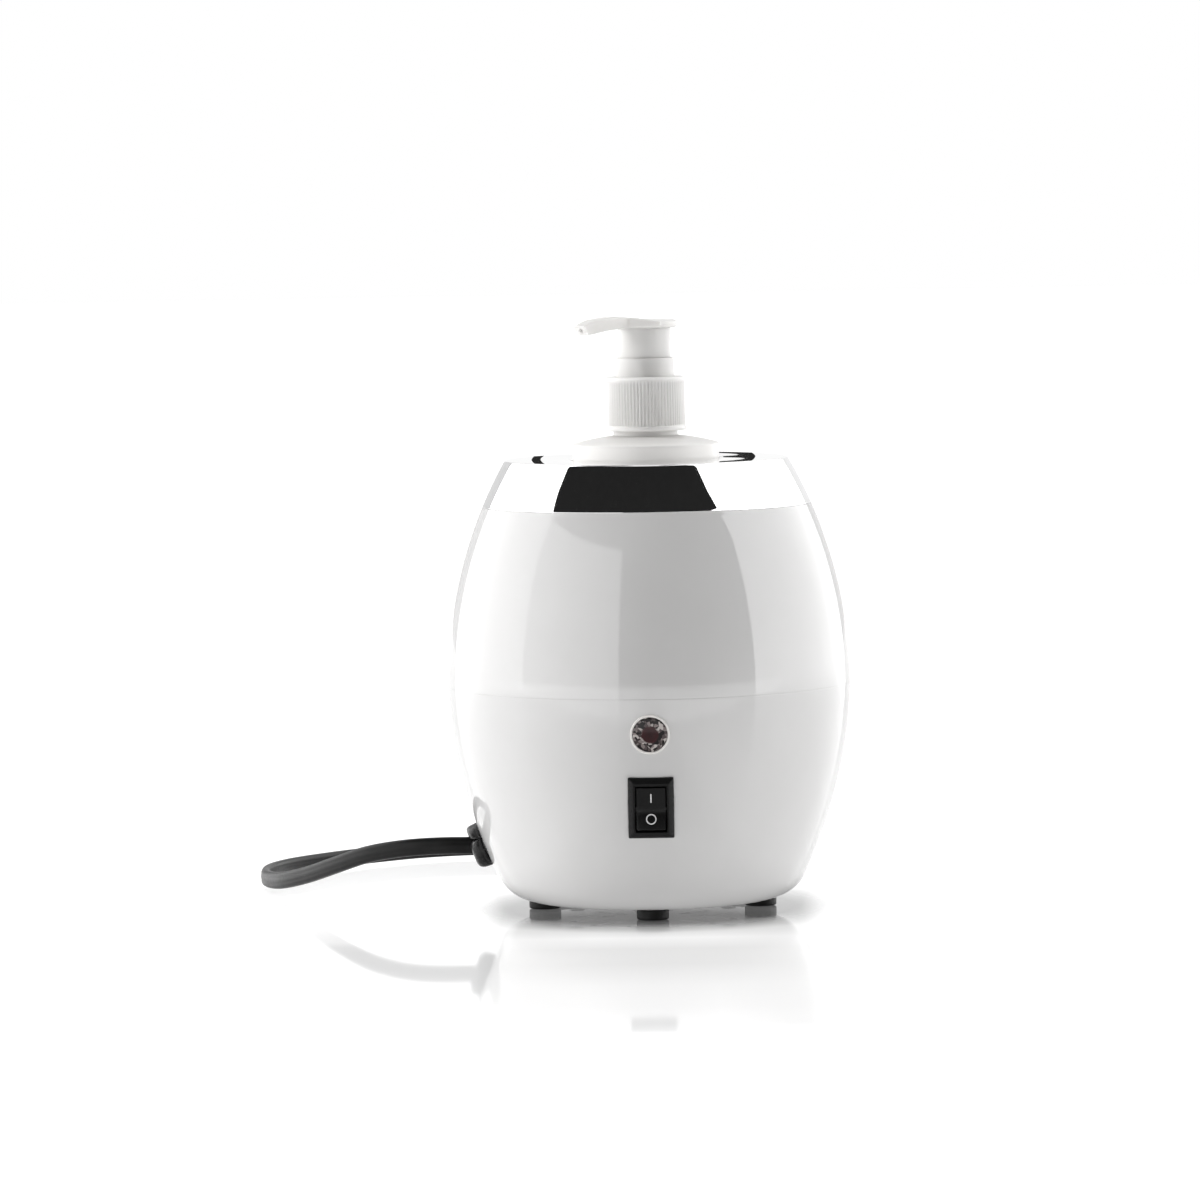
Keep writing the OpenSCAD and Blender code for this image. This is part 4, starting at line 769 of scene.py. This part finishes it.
def make_switch_frame():
    """The switch's body and its mitred frame, as rounded rectangles stacked on one another.

    They go from the back of the body to the seat, up the slope, over the lip and into the opening.
    """
    levels = [(6.4, 9.5, 0.4, -14.0), (6.4, 9.5, 0.4, -0.6), (7.5, 10.5, 0.5, -0.6), (7.5, 10.5, 0.5, 0.75),
              (7.35, 10.35, 0.5, 0.98), (6.0, 9.0, 0.4, 2.08), (5.8, 8.75, 0.35, 2.2), (5.35, 8.1, 0.3, 2.2),
              (5.22, 7.95, 0.3, 2.05), (5.2, 7.9, 0.3, -6.0)]
    rows = ends_closed(stacked([(round_box(w, h, corner), z) for w, h, corner, z in levels]))
    return Shape().grid(rows, place=on_front(SWITCH_Z, SWITCH_SEAT)).made(
        "switch_bezel", "base", "black_plastic", switch_black, ("switch_frame",), 25)


def make_rocker():
    """The rocker: a side outline with a shallow valley on top, as a slab across the switch, and its axle."""
    high = ROCKER_TOP + ROCKER_SLOPE * ROCKER_HALF
    outline = eased(line((0, ROCKER_TOP), (-ROCKER_HALF, high), (-ROCKER_HALF, 0), (-3.5, -3.4), (3.5, -3.4),
                         (ROCKER_HALF, 0), (ROCKER_HALF, high)), (2.2, 0.35, 0.8, 0.8, 0.8, 0.8, 0.35), 7)
    place = then(rocked, on_front(SWITCH_Z, SWITCH_SEAT))
    shape = Shape().grid(slab(outline, 4.7, 0.22), place=place)
    axle = eased(line((0, -5.9), (1.2, -5.9), (1.2, 5.9), (0, 5.9)), 0.2, 3, False)
    shape.spun(axle, 32, False, then(lambda p: np.stack([p[:, 2], p[:, 0], ROCKER_PIVOT + p[:, 1]], 1), place))
    return shape.made("rocker_paddle", "rocker", "black_plastic", rocker_black, ("rocker",), 25)


def make_marks():
    """The switch's I and O: a thin bar and a thin ring, each laid flat on its slope of the rocker."""
    place = then(rocked, on_front(SWITCH_Z, SWITCH_SEAT))

    def on_slope(p):
        """Lays local x, y and height on the two slopes of the rocker, then puts them in place."""
        return place(np.stack([p[:, 0], p[:, 1], ROCKER_TOP + np.abs(p[:, 1]) * ROCKER_SLOPE + p[:, 2]], 1))

    bar = eased(line((-0.22, 1.9), (0.22, 1.9), (0.22, 4.9), (-0.22, 4.9)), 0.1, 3)
    shape = Shape().grid(slab(bar, 0.03, 0.02, "xy"), place=on_slope)
    ring = eased(line((1.33, -0.03), (1.72, -0.03), (1.72, 0.03), (1.33, 0.03)), 0.02, 3)
    shape.spun(ring, 64, True, then(lambda p: p + (0, -3.5, 0), on_slope))
    return shape.made("switch_marks", "rocker", "block_plastic", mark_white)


def make_lamp():
    """The lamp's rim and the faceted lens: a low crown whose outer rings waver with the angle."""
    place = on_front(LAMP_Z)
    rim = eased(line((0, -14), (4.9, -14), (4.9, -0.35), (6.5, -0.35), (6.5, 0.45), (5.8, 0.45), (5.8, -0.2),
                     (4.0, -0.2), (4.0, -13), (0, -13)),
                (0, 0.3, 0.1, 0.05, 0.25, 0.15, 0.05, 0.1, 0.2, 0), 5, False)
    Shape().spun(rim, 96, False, place).made("lamp_rim", "base", "clear_plastic", lamp_rim_clear, ("lamp_barrel",))
    r = np.concatenate([np.linspace(0, 2.6, 7), np.linspace(2.9, 5.5, 9), [LENS_R]])
    crown = 0.3 + 0.5 * (1 - (r / LENS_R) ** 2)
    crown[-1] = 0.2
    outline = np.concatenate([line((0, -2.2), (3.9, -2.2), (3.9, -0.15), (LENS_R, -0.15)),
                              np.stack([r, crown], 1)[::-1]])

    def facets(a, rad, z):
        """Draws the crown's rings in and out a little with the angle, in alternate rows."""
        row = np.arange(rad.shape[1])[None, :] % 2
        inside = (z > 0.21) & (rad > 2.7) & (rad < 5.6)
        return np.where(inside, 0.14 * np.cos(24 * a + np.pi * row), 0.0)

    Shape().spun(outline, 144, False, place, facets).made(
        "lamp_crown", "base", "lamp_red", lamp_red, ("lamp_lens",), 8)


for maker in (make_switch_frame, make_rocker, make_marks, make_lamp):
    maker()


# Bottle and pump

def make_bottle():
    """The bottle: wall, shoulder and neck as a closed outline, spun, with a helical thread on the neck.

    The thread's rows turn with the angle and rise by a pitch in a turn.
    """
    inside = BOTTLE_R - BOTTLE_WALL
    shoulder = line((BOTTLE_R, SHOULDER_Z - 1.2), (BOTTLE_R, SHOULDER_Z), (BOTTLE_R * 0.8, SHOULDER_Z + 1.2),
                    (BOTTLE_R * 0.6, SHOULDER_Z + 2.1), (NECK_R, NECK_Z), (NECK_R, NECK_Z + 1.5))
    outline = np.concatenate([
        line((0, BOTTLE_Z)), arc(BOTTLE_R - 3, BOTTLE_Z + 3, 3, -90, 0, 10),
        eased(shoulder, (0, 0.55, 2.0, 2.0, 0.5, 0), 7, False),
        arc(NECK_R - 0.3, NECK_TOP - 0.3, 0.3, 0, 90, 4),
        line((NECK_R - NECK_WALL, NECK_TOP), (NECK_R - NECK_WALL, NECK_Z - BOTTLE_WALL),
             (inside * 0.6, SHOULDER_Z + 1.0), (inside * 0.8, SHOULDER_Z + 0.1), (inside, SHOULDER_Z - 1.2)),
        arc(inside - 1.9, BOTTLE_Z + 3, 1.9, 0, -90, 8), line((0, BOTTLE_Z + BOTTLE_WALL))])
    shape = Shape().spun(outline, 192, False)
    turns = np.linspace(0, 1.5, 109)
    fade = np.clip(np.minimum(turns, 1.5 - turns) * 10, 0.05, 1)
    root = NECK_R - 0.3
    out, up = line((0, -0.6), (THREAD_R - root, -0.35), (THREAD_R - root, 0.35), (0, 0.6)).T
    z = COLLAR_Z + 4.1 + THREAD_PITCH * turns[:, None] + up
    shape.grid(ends_closed(around(root + out * fade[:, None], turns * TURN, z)))
    return shape.made("bottle_wall", "bottle", "bottle_plastic", bottle_white, ("bottle",))


def make_collar():
    """The ribbed closure: an eased outline, spun, whose ribbed part swells with the cosine of the rib angle."""
    plain = COLLAR_R - 0.17
    in_r = THREAD_R + 0.3
    ribs_z = np.array([COLLAR_Z + 1.7, COLLAR_Z + 2.1, COLLAR_Z + 9, COLLAR_TOP - 2.2, COLLAR_TOP - 1.5])
    outline = np.concatenate([
        line((in_r, COLLAR_Z)), arc(COLLAR_R - 0.05, COLLAR_Z + 0.3, 0.3, -90, 0, 4),
        line((COLLAR_R + 0.25, COLLAR_Z + 1.0), (COLLAR_R + 0.05, COLLAR_Z + 1.4)),
        np.stack([plain - (ribs_z - COLLAR_Z) * 0.006, ribs_z], 1),
        arc(plain - 1.0, COLLAR_TOP - 1.0, 0.9, 5, 90, 7),
        line((CHIMNEY_R + 0.35, COLLAR_TOP - 0.1), (CHIMNEY_R + 0.2, COLLAR_TOP - 0.25),
             (CHIMNEY_R + 0.2, COLLAR_TOP - 1.5), (in_r, COLLAR_TOP - 1.5))])

    def ribs(a, r, z):
        """A rounded rib: 0.24 mm times the cosine, squared off a little, inside the ribbed heights."""
        wave = np.tanh(2.2 * np.cos(COLLAR_RIBS * a)) / np.tanh(2.2)
        inside = (z > COLLAR_Z + 1.9) & (z < COLLAR_TOP - 1.9) & (r > in_r + 0.3)
        return np.where(inside, 0.24 * wave, 0.0)

    shape = Shape().spun(outline, COLLAR_RIBS * 10, True, ripple=ribs)
    return shape.made("closure_ribbed", "collar", "pump_white", pump_white, ("pump_collar",), 40)


def make_housing():
    """The pump's housing: chimney, flange, cylinder, ball cage and socket as one closed outline, spun."""
    outline = eased(line(
        (CHIMNEY_R, CHIMNEY_TOP), (CHIMNEY_R, 176.8), (11.55, 176.8), (11.55, 175.2), (6.4, 175.2), (6.4, 130.2),
        (4.4, 128.2), (4.4, 125.2), (3.55, 123.7), (3.55, 114.7), (2.55, 114.7), (2.55, 122.7), (1.5, 122.7),
        (1.5, 125.2), (3.4, 127.1), (3.4, 132.2), (5.4, 132.2), (5.4, 175.2), (3.4, 175.2), (3.4, 176.0),
        (9.13, 176.0), (9.13, CHIMNEY_TOP)), (0.3,) + (0.1,) * 20 + (0.2,), 5)[::-1]
    return Shape().spun(outline, 128).made("chimney_housing", "pump", "pump_white", pump_white, ("pump_housing",))


def make_spring():
    """The pump's spring: a round wire carried along a helix. The real spring shortens by the stroke as the head
    goes down.
    """
    low, high = (np.array(corner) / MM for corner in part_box("pump_spring"))
    a = np.linspace(0, SPRING_TURNS * TURN, SPRING_TURNS * 24 + 1)
    coil_r = (high[0] - low[0]) / 2 - SPRING_WIRE_R
    path = np.stack([coil_r * np.cos(a), coil_r * np.sin(a),
                     np.linspace(low[2] + SPRING_WIRE_R, high[2] - SPRING_WIRE_R, len(a))], 1)
    b = angles(10)
    shape = Shape()
    shape.grid(ends_closed(swept(path, SPRING_WIRE_R * np.stack([np.cos(b), np.sin(b)], 1))))
    piece = shape.made("spring_coil", "pump", "steel", steel, ("pump_spring",))
    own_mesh(piece)
    return piece


def make_head():
    """The pump head: rounded sections carried along the spout, a skirt and a boss.

    A section's half width is the larger of the thumb pad's circle and the spout's taper; its top and bottom
    follow two curves, and its corners are those of a superellipse. The mouth of the spout leans back, with a
    round hole in it.
    """
    pad, tip, slant, count = 11.0, 28.2, 0.63, 72
    x = np.concatenate([-pad * np.cos(np.linspace(0, np.pi / 2, 36)), np.linspace(0, tip, 64)[1:]])
    top_x = [-11.0, -10.6, -10, -8, -4, 0, 4, 8, 12, 16.2, 22.6, 26, 28.2]
    top_z = [1.9, 2.3, 2.6, 2.9, 2.7, 2.7, 3.0, 3.75, 4.1, 4.1, 3.5, 2.6, 1.4]
    low_x, low_z = [-11, 13, 17, 22.2, 28.2], [0, 0, -0.4, -1.0, -1.7]
    fine = np.linspace(-pad, tip, 400)
    soft = np.exp(-np.linspace(-2, 2, 25) ** 2)
    soft /= soft.sum()

    def curve(px, pz):
        """A smoothed curve through points: straight pieces, averaged over a short width."""
        raw = np.interp(fine, px, pz)
        wide = np.pad(raw, 12, mode="edge")
        return np.interp(x, fine, np.convolve(wide, soft, "valid"))

    top, low = curve(top_x, top_z), curve(low_x, low_z)
    disc = np.sqrt(np.maximum(pad ** 2 - x ** 2, 0))
    arm = np.interp(x, [0, 4, 10, tip - 2, tip], [9, 7.4, 4.5, 3.15, 3.0])
    width = np.where(x > 2, (disc ** 5 + arm ** 5) ** 0.2, disc)
    a = angles(count)
    power = np.interp(x, [-pad, 4, 12, tip], [0.34, 0.34, 0.42, 0.42])[:, None]
    middle, half = (top + low) / 2, (top - low) / 2
    z = middle[:, None] + half[:, None] * squarer(np.sin(a), power)
    lean = slant * np.clip((x - 18) / 8, 0, 1)[:, None]
    along = x[:, None] - lean * (top[:, None] - z)
    rows = np.stack([along, width[:, None] * squarer(np.cos(a), power), z], -1)
    mouth = rows[-1]
    centre, inward = mouth.mean(0), np.array([-5.0, 0, 0.2])
    hole = centre + np.stack([slant * 0.75 * np.sin(a), 0.8 * np.cos(a), 0.75 * np.sin(a)], 1)
    mouth_rows = [centre + (mouth - centre) * 0.93 + (0.06, 0, 0), hole, hole + inward,
                  np.broadcast_to(centre + inward, mouth.shape)]
    rows = np.concatenate([rows, np.stack(mouth_rows)])
    shape = Shape().grid(rows, place=about(SPOUT_YAW, 0.0, HEAD_Z))
    skirt = eased(line((SKIRT_R - 1.2, CHIMNEY_TOP - 0.5), (SKIRT_R, CHIMNEY_TOP - 0.5), (SKIRT_R, HEAD_Z + 0.3),
                       (SKIRT_R - 1.2, HEAD_Z + 0.3)), (0.2, 0.2, 0, 0), 4)
    boss = eased(line((3.25, HEAD_Z - 8), (4.4, HEAD_Z - 8), (4.4, HEAD_Z + 0.3), (3.25, HEAD_Z + 0.3)), 0.2, 3)
    shape.spun(skirt, 128).spun(boss, 64)
    return shape.made("pump_head_spout", "head", "pump_white", head_white_shaded, ("pump_head",), 50)


for maker in (make_bottle, make_collar, make_housing, make_spring, make_head):
    maker()

# Finishes of the solids that stay as they are
KEPT = {
    steel: ("heater_straps", "thermostat_bracket", "bracket_nuts", "fuse_clip", "lamp_clip", "switch_terminals",
            "check_ball", "thermostat_cap", "thermal_fuse"),
    brass: ("thermostat_terminals", "terminal_screws"),
    heater_red: ("heater_band",),
    felt: ("insulation_sleeve",),
    phenolic: ("thermostat_body",),
    block_white: ("terminal_block",),
    wire_brown: ("live_core", "live_wire"),
    wire_blue: ("neutral_core", "neutral_wire"),
    wire_black: ("switched_wire", "thermostat_wire", "fuse_wire"),
    wire_pale: ("lamp_wires",),
    bottle_white: ("dip_tube",),
    pump_white: ("pump_stem",),
    seal_grey: ("pump_gasket", "pump_piston"),
    neon_glass: ("neon_bulb",),
}
for material, names in KEPT.items():
    for name in names:
        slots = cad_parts[name].data.materials
        slots.clear()
        slots.append(material)


# Stage: a pale gloss floor, two soft panels, a dark card behind the camera and white all round

WORLD_FILL, FLOOR_FILL, FLOOR_LIFT, SIDE_GLOW, EDGE_GLOW = 0.2, 0.62, 0.25, 0.3, 0.14
# How far out the base and the body go, in metres, where the floor's light changes
BASE_EDGE, BODY_EDGE = 0.048, 0.068
# The floor's own light in front of the object and under it, as (y, strength)
FLOOR_GLOW = [(-0.4, 1.0), (-0.335, 1.0), (-0.318, 0.55), (-0.305, 0.32), (-0.292, 0.23), (-0.255, 0.16),
              (-0.205, 0.12), (-0.153, 0.01), (-0.114, 0.01), (-0.086, 0.17), (-0.065, 0.04), (-0.05, 0.0),
              (0.1, 0.0)]
# Edges of the dark card between the two panels, as angles from the front at five heights, and its tone
CARD_HEIGHTS = (0.0, 1.7, 2.2, 2.7, 5.0)
LEFT_EDGE = np.array([-75.0, -75.0, -79.0, -80.5, -82.0])
RIGHT_EDGE = np.array([62.0, 62.0, 58.5, 55.0, 50.0])
CARD_R, NEAR_R, DARK = 2.7, 2.6, 0.012


def stage_object(name, points, material):
    """A grid of points in metres as a piece of the studio."""
    mesh = bpy.data.meshes.new(name)
    rows, columns = points.shape[:2]
    mesh.from_pydata(points.reshape(-1, 3).tolist(), [], grid_faces(rows, columns, False, False).tolist())
    mesh.materials.append(material)
    piece = placed(name, mesh)
    return piece


def seen_rays(tree):
    """1 for rays from the camera and for those that metal and glass send on, 0 for the rest."""
    rays = new_node(tree, "LightPath", {}).outputs
    return number(tree, "MAXIMUM", *(rays[f"Is {kind} Ray"] for kind in ("Camera", "Glossy", "Transmission")))


def floor_light(tree, place, radius):
    """Strength of the floor's own light: a strip, the sides, the edges and a lift, added up.

    The strip in front of the object follows FLOOR_GLOW, and is less to both sides of it. The sides begin beside
    the object and behind it, leave out the places where the lead is mirrored, and fade away. The edges go on to
    the ends of the floor. The lift is the same all round, from a radius on.
    """
    span, most = partial(ranged, tree), partial(number, tree, "MAXIMUM")
    times, plus = partial(number, tree, "MULTIPLY"), partial(number, tree, "ADD")
    coordinates = axes(tree, place)
    x, ahead = coordinates["X"], coordinates["Y"]
    out = number(tree, "ABSOLUTE", x)
    first, last = FLOOR_GLOW[0][0], FLOOR_GLOW[-1][0]
    along = shades(tree, span(ahead, first, last, 0.0, 1.0),
                   [((where - first) / (last - first), grey(level)) for where, level in FLOOR_GLOW])
    strip = times(along, most(span(out, 0.02, 0.046, 1.0, 0.4), span(ahead, -0.28, -0.32, 0.0, 1.0)))
    side = most(span(out, 0.05, BODY_EDGE, 0.0, SIDE_GLOW), span(ahead, 0.04, 0.1, 0.0, SIDE_GLOW))
    clear = most(span(ahead, -0.1, -0.05, 0.0, 1.0), span(ahead, -0.22, -0.32, 0.0, 1.0),
                 span(x, 0.05, BODY_EDGE, 0.0, 1.0), span(x, -0.2, -0.35, 0.0, 1.0))
    fade = times(span(out, 0.14, 0.6, 1.0, 0.0), span(ahead, 0.05, 0.5, 1.0, 0.0))
    edge = plus(most(span(out, BASE_EDGE, 0.056, 0.0, EDGE_GLOW), span(ahead, -0.02, 0.07, 0.0, EDGE_GLOW)),
                span(ahead, 0.0, 1.5, 0.04, 0.2))
    lift = span(radius, BASE_EDGE, 0.074, 0.0, FLOOR_LIFT)
    return plus(strip, plus(times(side, clear, fade), edge), lift)


def make_floor():
    """A wide floor of white gloss sheet.

    It has a little light of its own for the rays that are seen, so that it stays white to the edges, and an even
    one for the rest. Under the object, within a radius, the sheet's colour is darker: a painted contact shadow.
    """
    material, tree, shader, place = new_finish("floor_sheet")
    radius = distance(tree, place)
    # Painted contact shadow: the colour is 0.35 of itself within the base's edge and comes back to full by 72 mm
    tone = number(tree, "MULTIPLY", spread(tree, grain(tree, place, 3), 0.5, 0.52),
                  ranged(tree, radius, BASE_EDGE, 0.072, 0.35, 1.0))
    seen = seen_rays(tree)
    unseen = number(tree, "MULTIPLY", number(tree, "SUBTRACT", 1.0, seen), FLOOR_FILL)
    light = number(tree, "ADD", number(tree, "MULTIPLY", floor_light(tree, place, radius), seen), unseen)
    fill(tree, shader, {"Base Color": tone, "Roughness": 0.05, "IOR": 1.3, "Emission Color": (1, 1, 1, 1),
                        "Emission Strength": light})
    across = np.linspace(-9, 9, 13)
    x, y = np.meshgrid(across, across, indexing="ij")
    stage_object("floor", np.stack([x, y, np.full_like(x, -0.0002)], -1), material)


def card_paper(name, value, glow):
    """Paper of one grey with a faint cloud, and a light of its own."""
    material, tree, shader, place = new_finish(name + "_paper")
    colour = tint(tree, grain(tree, place, 4), grey(value), grey(value * 1.06))
    fill(tree, shader, {"Base Color": colour, "Emission Color": colour, "Emission Strength": glow,
                        "Roughness": 0.95, "Specular IOR Level": 0.0})
    return material


def only_mirrored(card):
    """Keeps a card out of sight and out of the light: it is there only to be mirrored in the object."""
    card.visible_camera = card.visible_diffuse = card.visible_shadow = False


def make_card(name, first, last, heights, value, glow, radius=CARD_R):
    """A card bent round the object, from a first angle to a last one at each height; 0 is the front."""
    z = np.array(heights, float)
    share = np.linspace(0, 1, 41)[:, None]
    a = np.radians(first + 0 * z) + share * np.radians(np.subtract(last, first) + 0 * z)
    points = np.stack([radius * np.sin(a), -radius * np.cos(a), np.broadcast_to(z, a.shape)], -1)
    only_mirrored(stage_object(name, points, card_paper(name, value, glow)))


def make_sheet(name, corner, along, up, value, glow):
    """A flat sheet from a corner along two directions."""
    s, t = np.meshgrid(np.linspace(0, 1, 5), np.linspace(0, 1, 5), indexing="ij")
    points = np.array(corner) + s[..., None] * np.array(along) + t[..., None] * np.array(up)
    only_mirrored(stage_object(name, points, card_paper(name, value, glow)))


def make_light(name, place, aim, width, height, watts):
    """A soft panel that faces a point."""
    data = bpy.data.lights.new(name, "AREA")
    data.shape, data.size, data.size_y, data.energy = "RECTANGLE", width, height, watts
    ahead = np.array(aim, float) - place
    ahead /= np.linalg.norm(ahead)
    side = np.cross(ahead, (0, 0, 1))
    side /= np.linalg.norm(side)
    lamp = placed(name, data)
    lamp.matrix_world = looking(side, np.cross(side, ahead), ahead, place)
    lamp.visible_glossy = False


def make_world():
    """White for the rays that are seen, and a plain grey fill for the rest."""
    world = bpy.data.worlds.new("studio")
    bpy.context.scene.world = world
    world.use_nodes = True
    tree = world.node_tree
    level = ranged(tree, seen_rays(tree), 0.0, 1.0, WORLD_FILL, 1.0)
    fill(tree, tree.nodes["Background"], {"Color": (1, 1, 1, 1), "Strength": level})


make_floor()
make_card("front_card", LEFT_EDGE, RIGHT_EDGE, CARD_HEIGHTS, DARK, 1.0)
make_card("left_panel_face", -150, LEFT_EDGE, CARD_HEIGHTS, 1.0, 2.2)
make_card("right_panel_face", RIGHT_EDGE, 150, CARD_HEIGHTS, 1.0, 2.2)
make_card("pale_card", -76, -17, (0.0, 1.8), 1.0, 1.05, NEAR_R)
make_card("left_flag", -169, -146, (0.0, 2.5), 0.4, 1.0, NEAR_R)
make_card("right_flag", 150, 169, (0.0, 2.5), 0.5, 1.0, NEAR_R)
make_sheet("left_bar", (-1.3, -0.7, 3.0), (1.0, 0, 0), (0, 2.2, 0), DARK, 1.0)
make_sheet("right_bar", (0.3, -0.7, 3.0), (0.2, 0, 0), (0, 2.2, 0), DARK, 1.0)
make_sheet("left_strip", (-0.0445, 0.35, 0.16), (0.004, 0, 0), (0, 0, 0.018), DARK, 1.0)
make_sheet("right_strip", (0.02, 0.35, 0.16), (0.021, 0, 0), (0, 0, 0.018), DARK, 1.0)
make_light("left_panel", (-1.7, -0.15, 0.7), (0, 0, 0.1), 0.6, 1.4, 25)
make_light("right_panel", (1.7, -0.15, 0.7), (0, 0, 0.1), 0.6, 1.4, 13)
make_light("top_panel", (0, 0.1, 2.4), (0, 0, 0), 2.2, 2.2, 26)
make_world()
bpy.context.scene.view_settings.view_transform = "Standard"
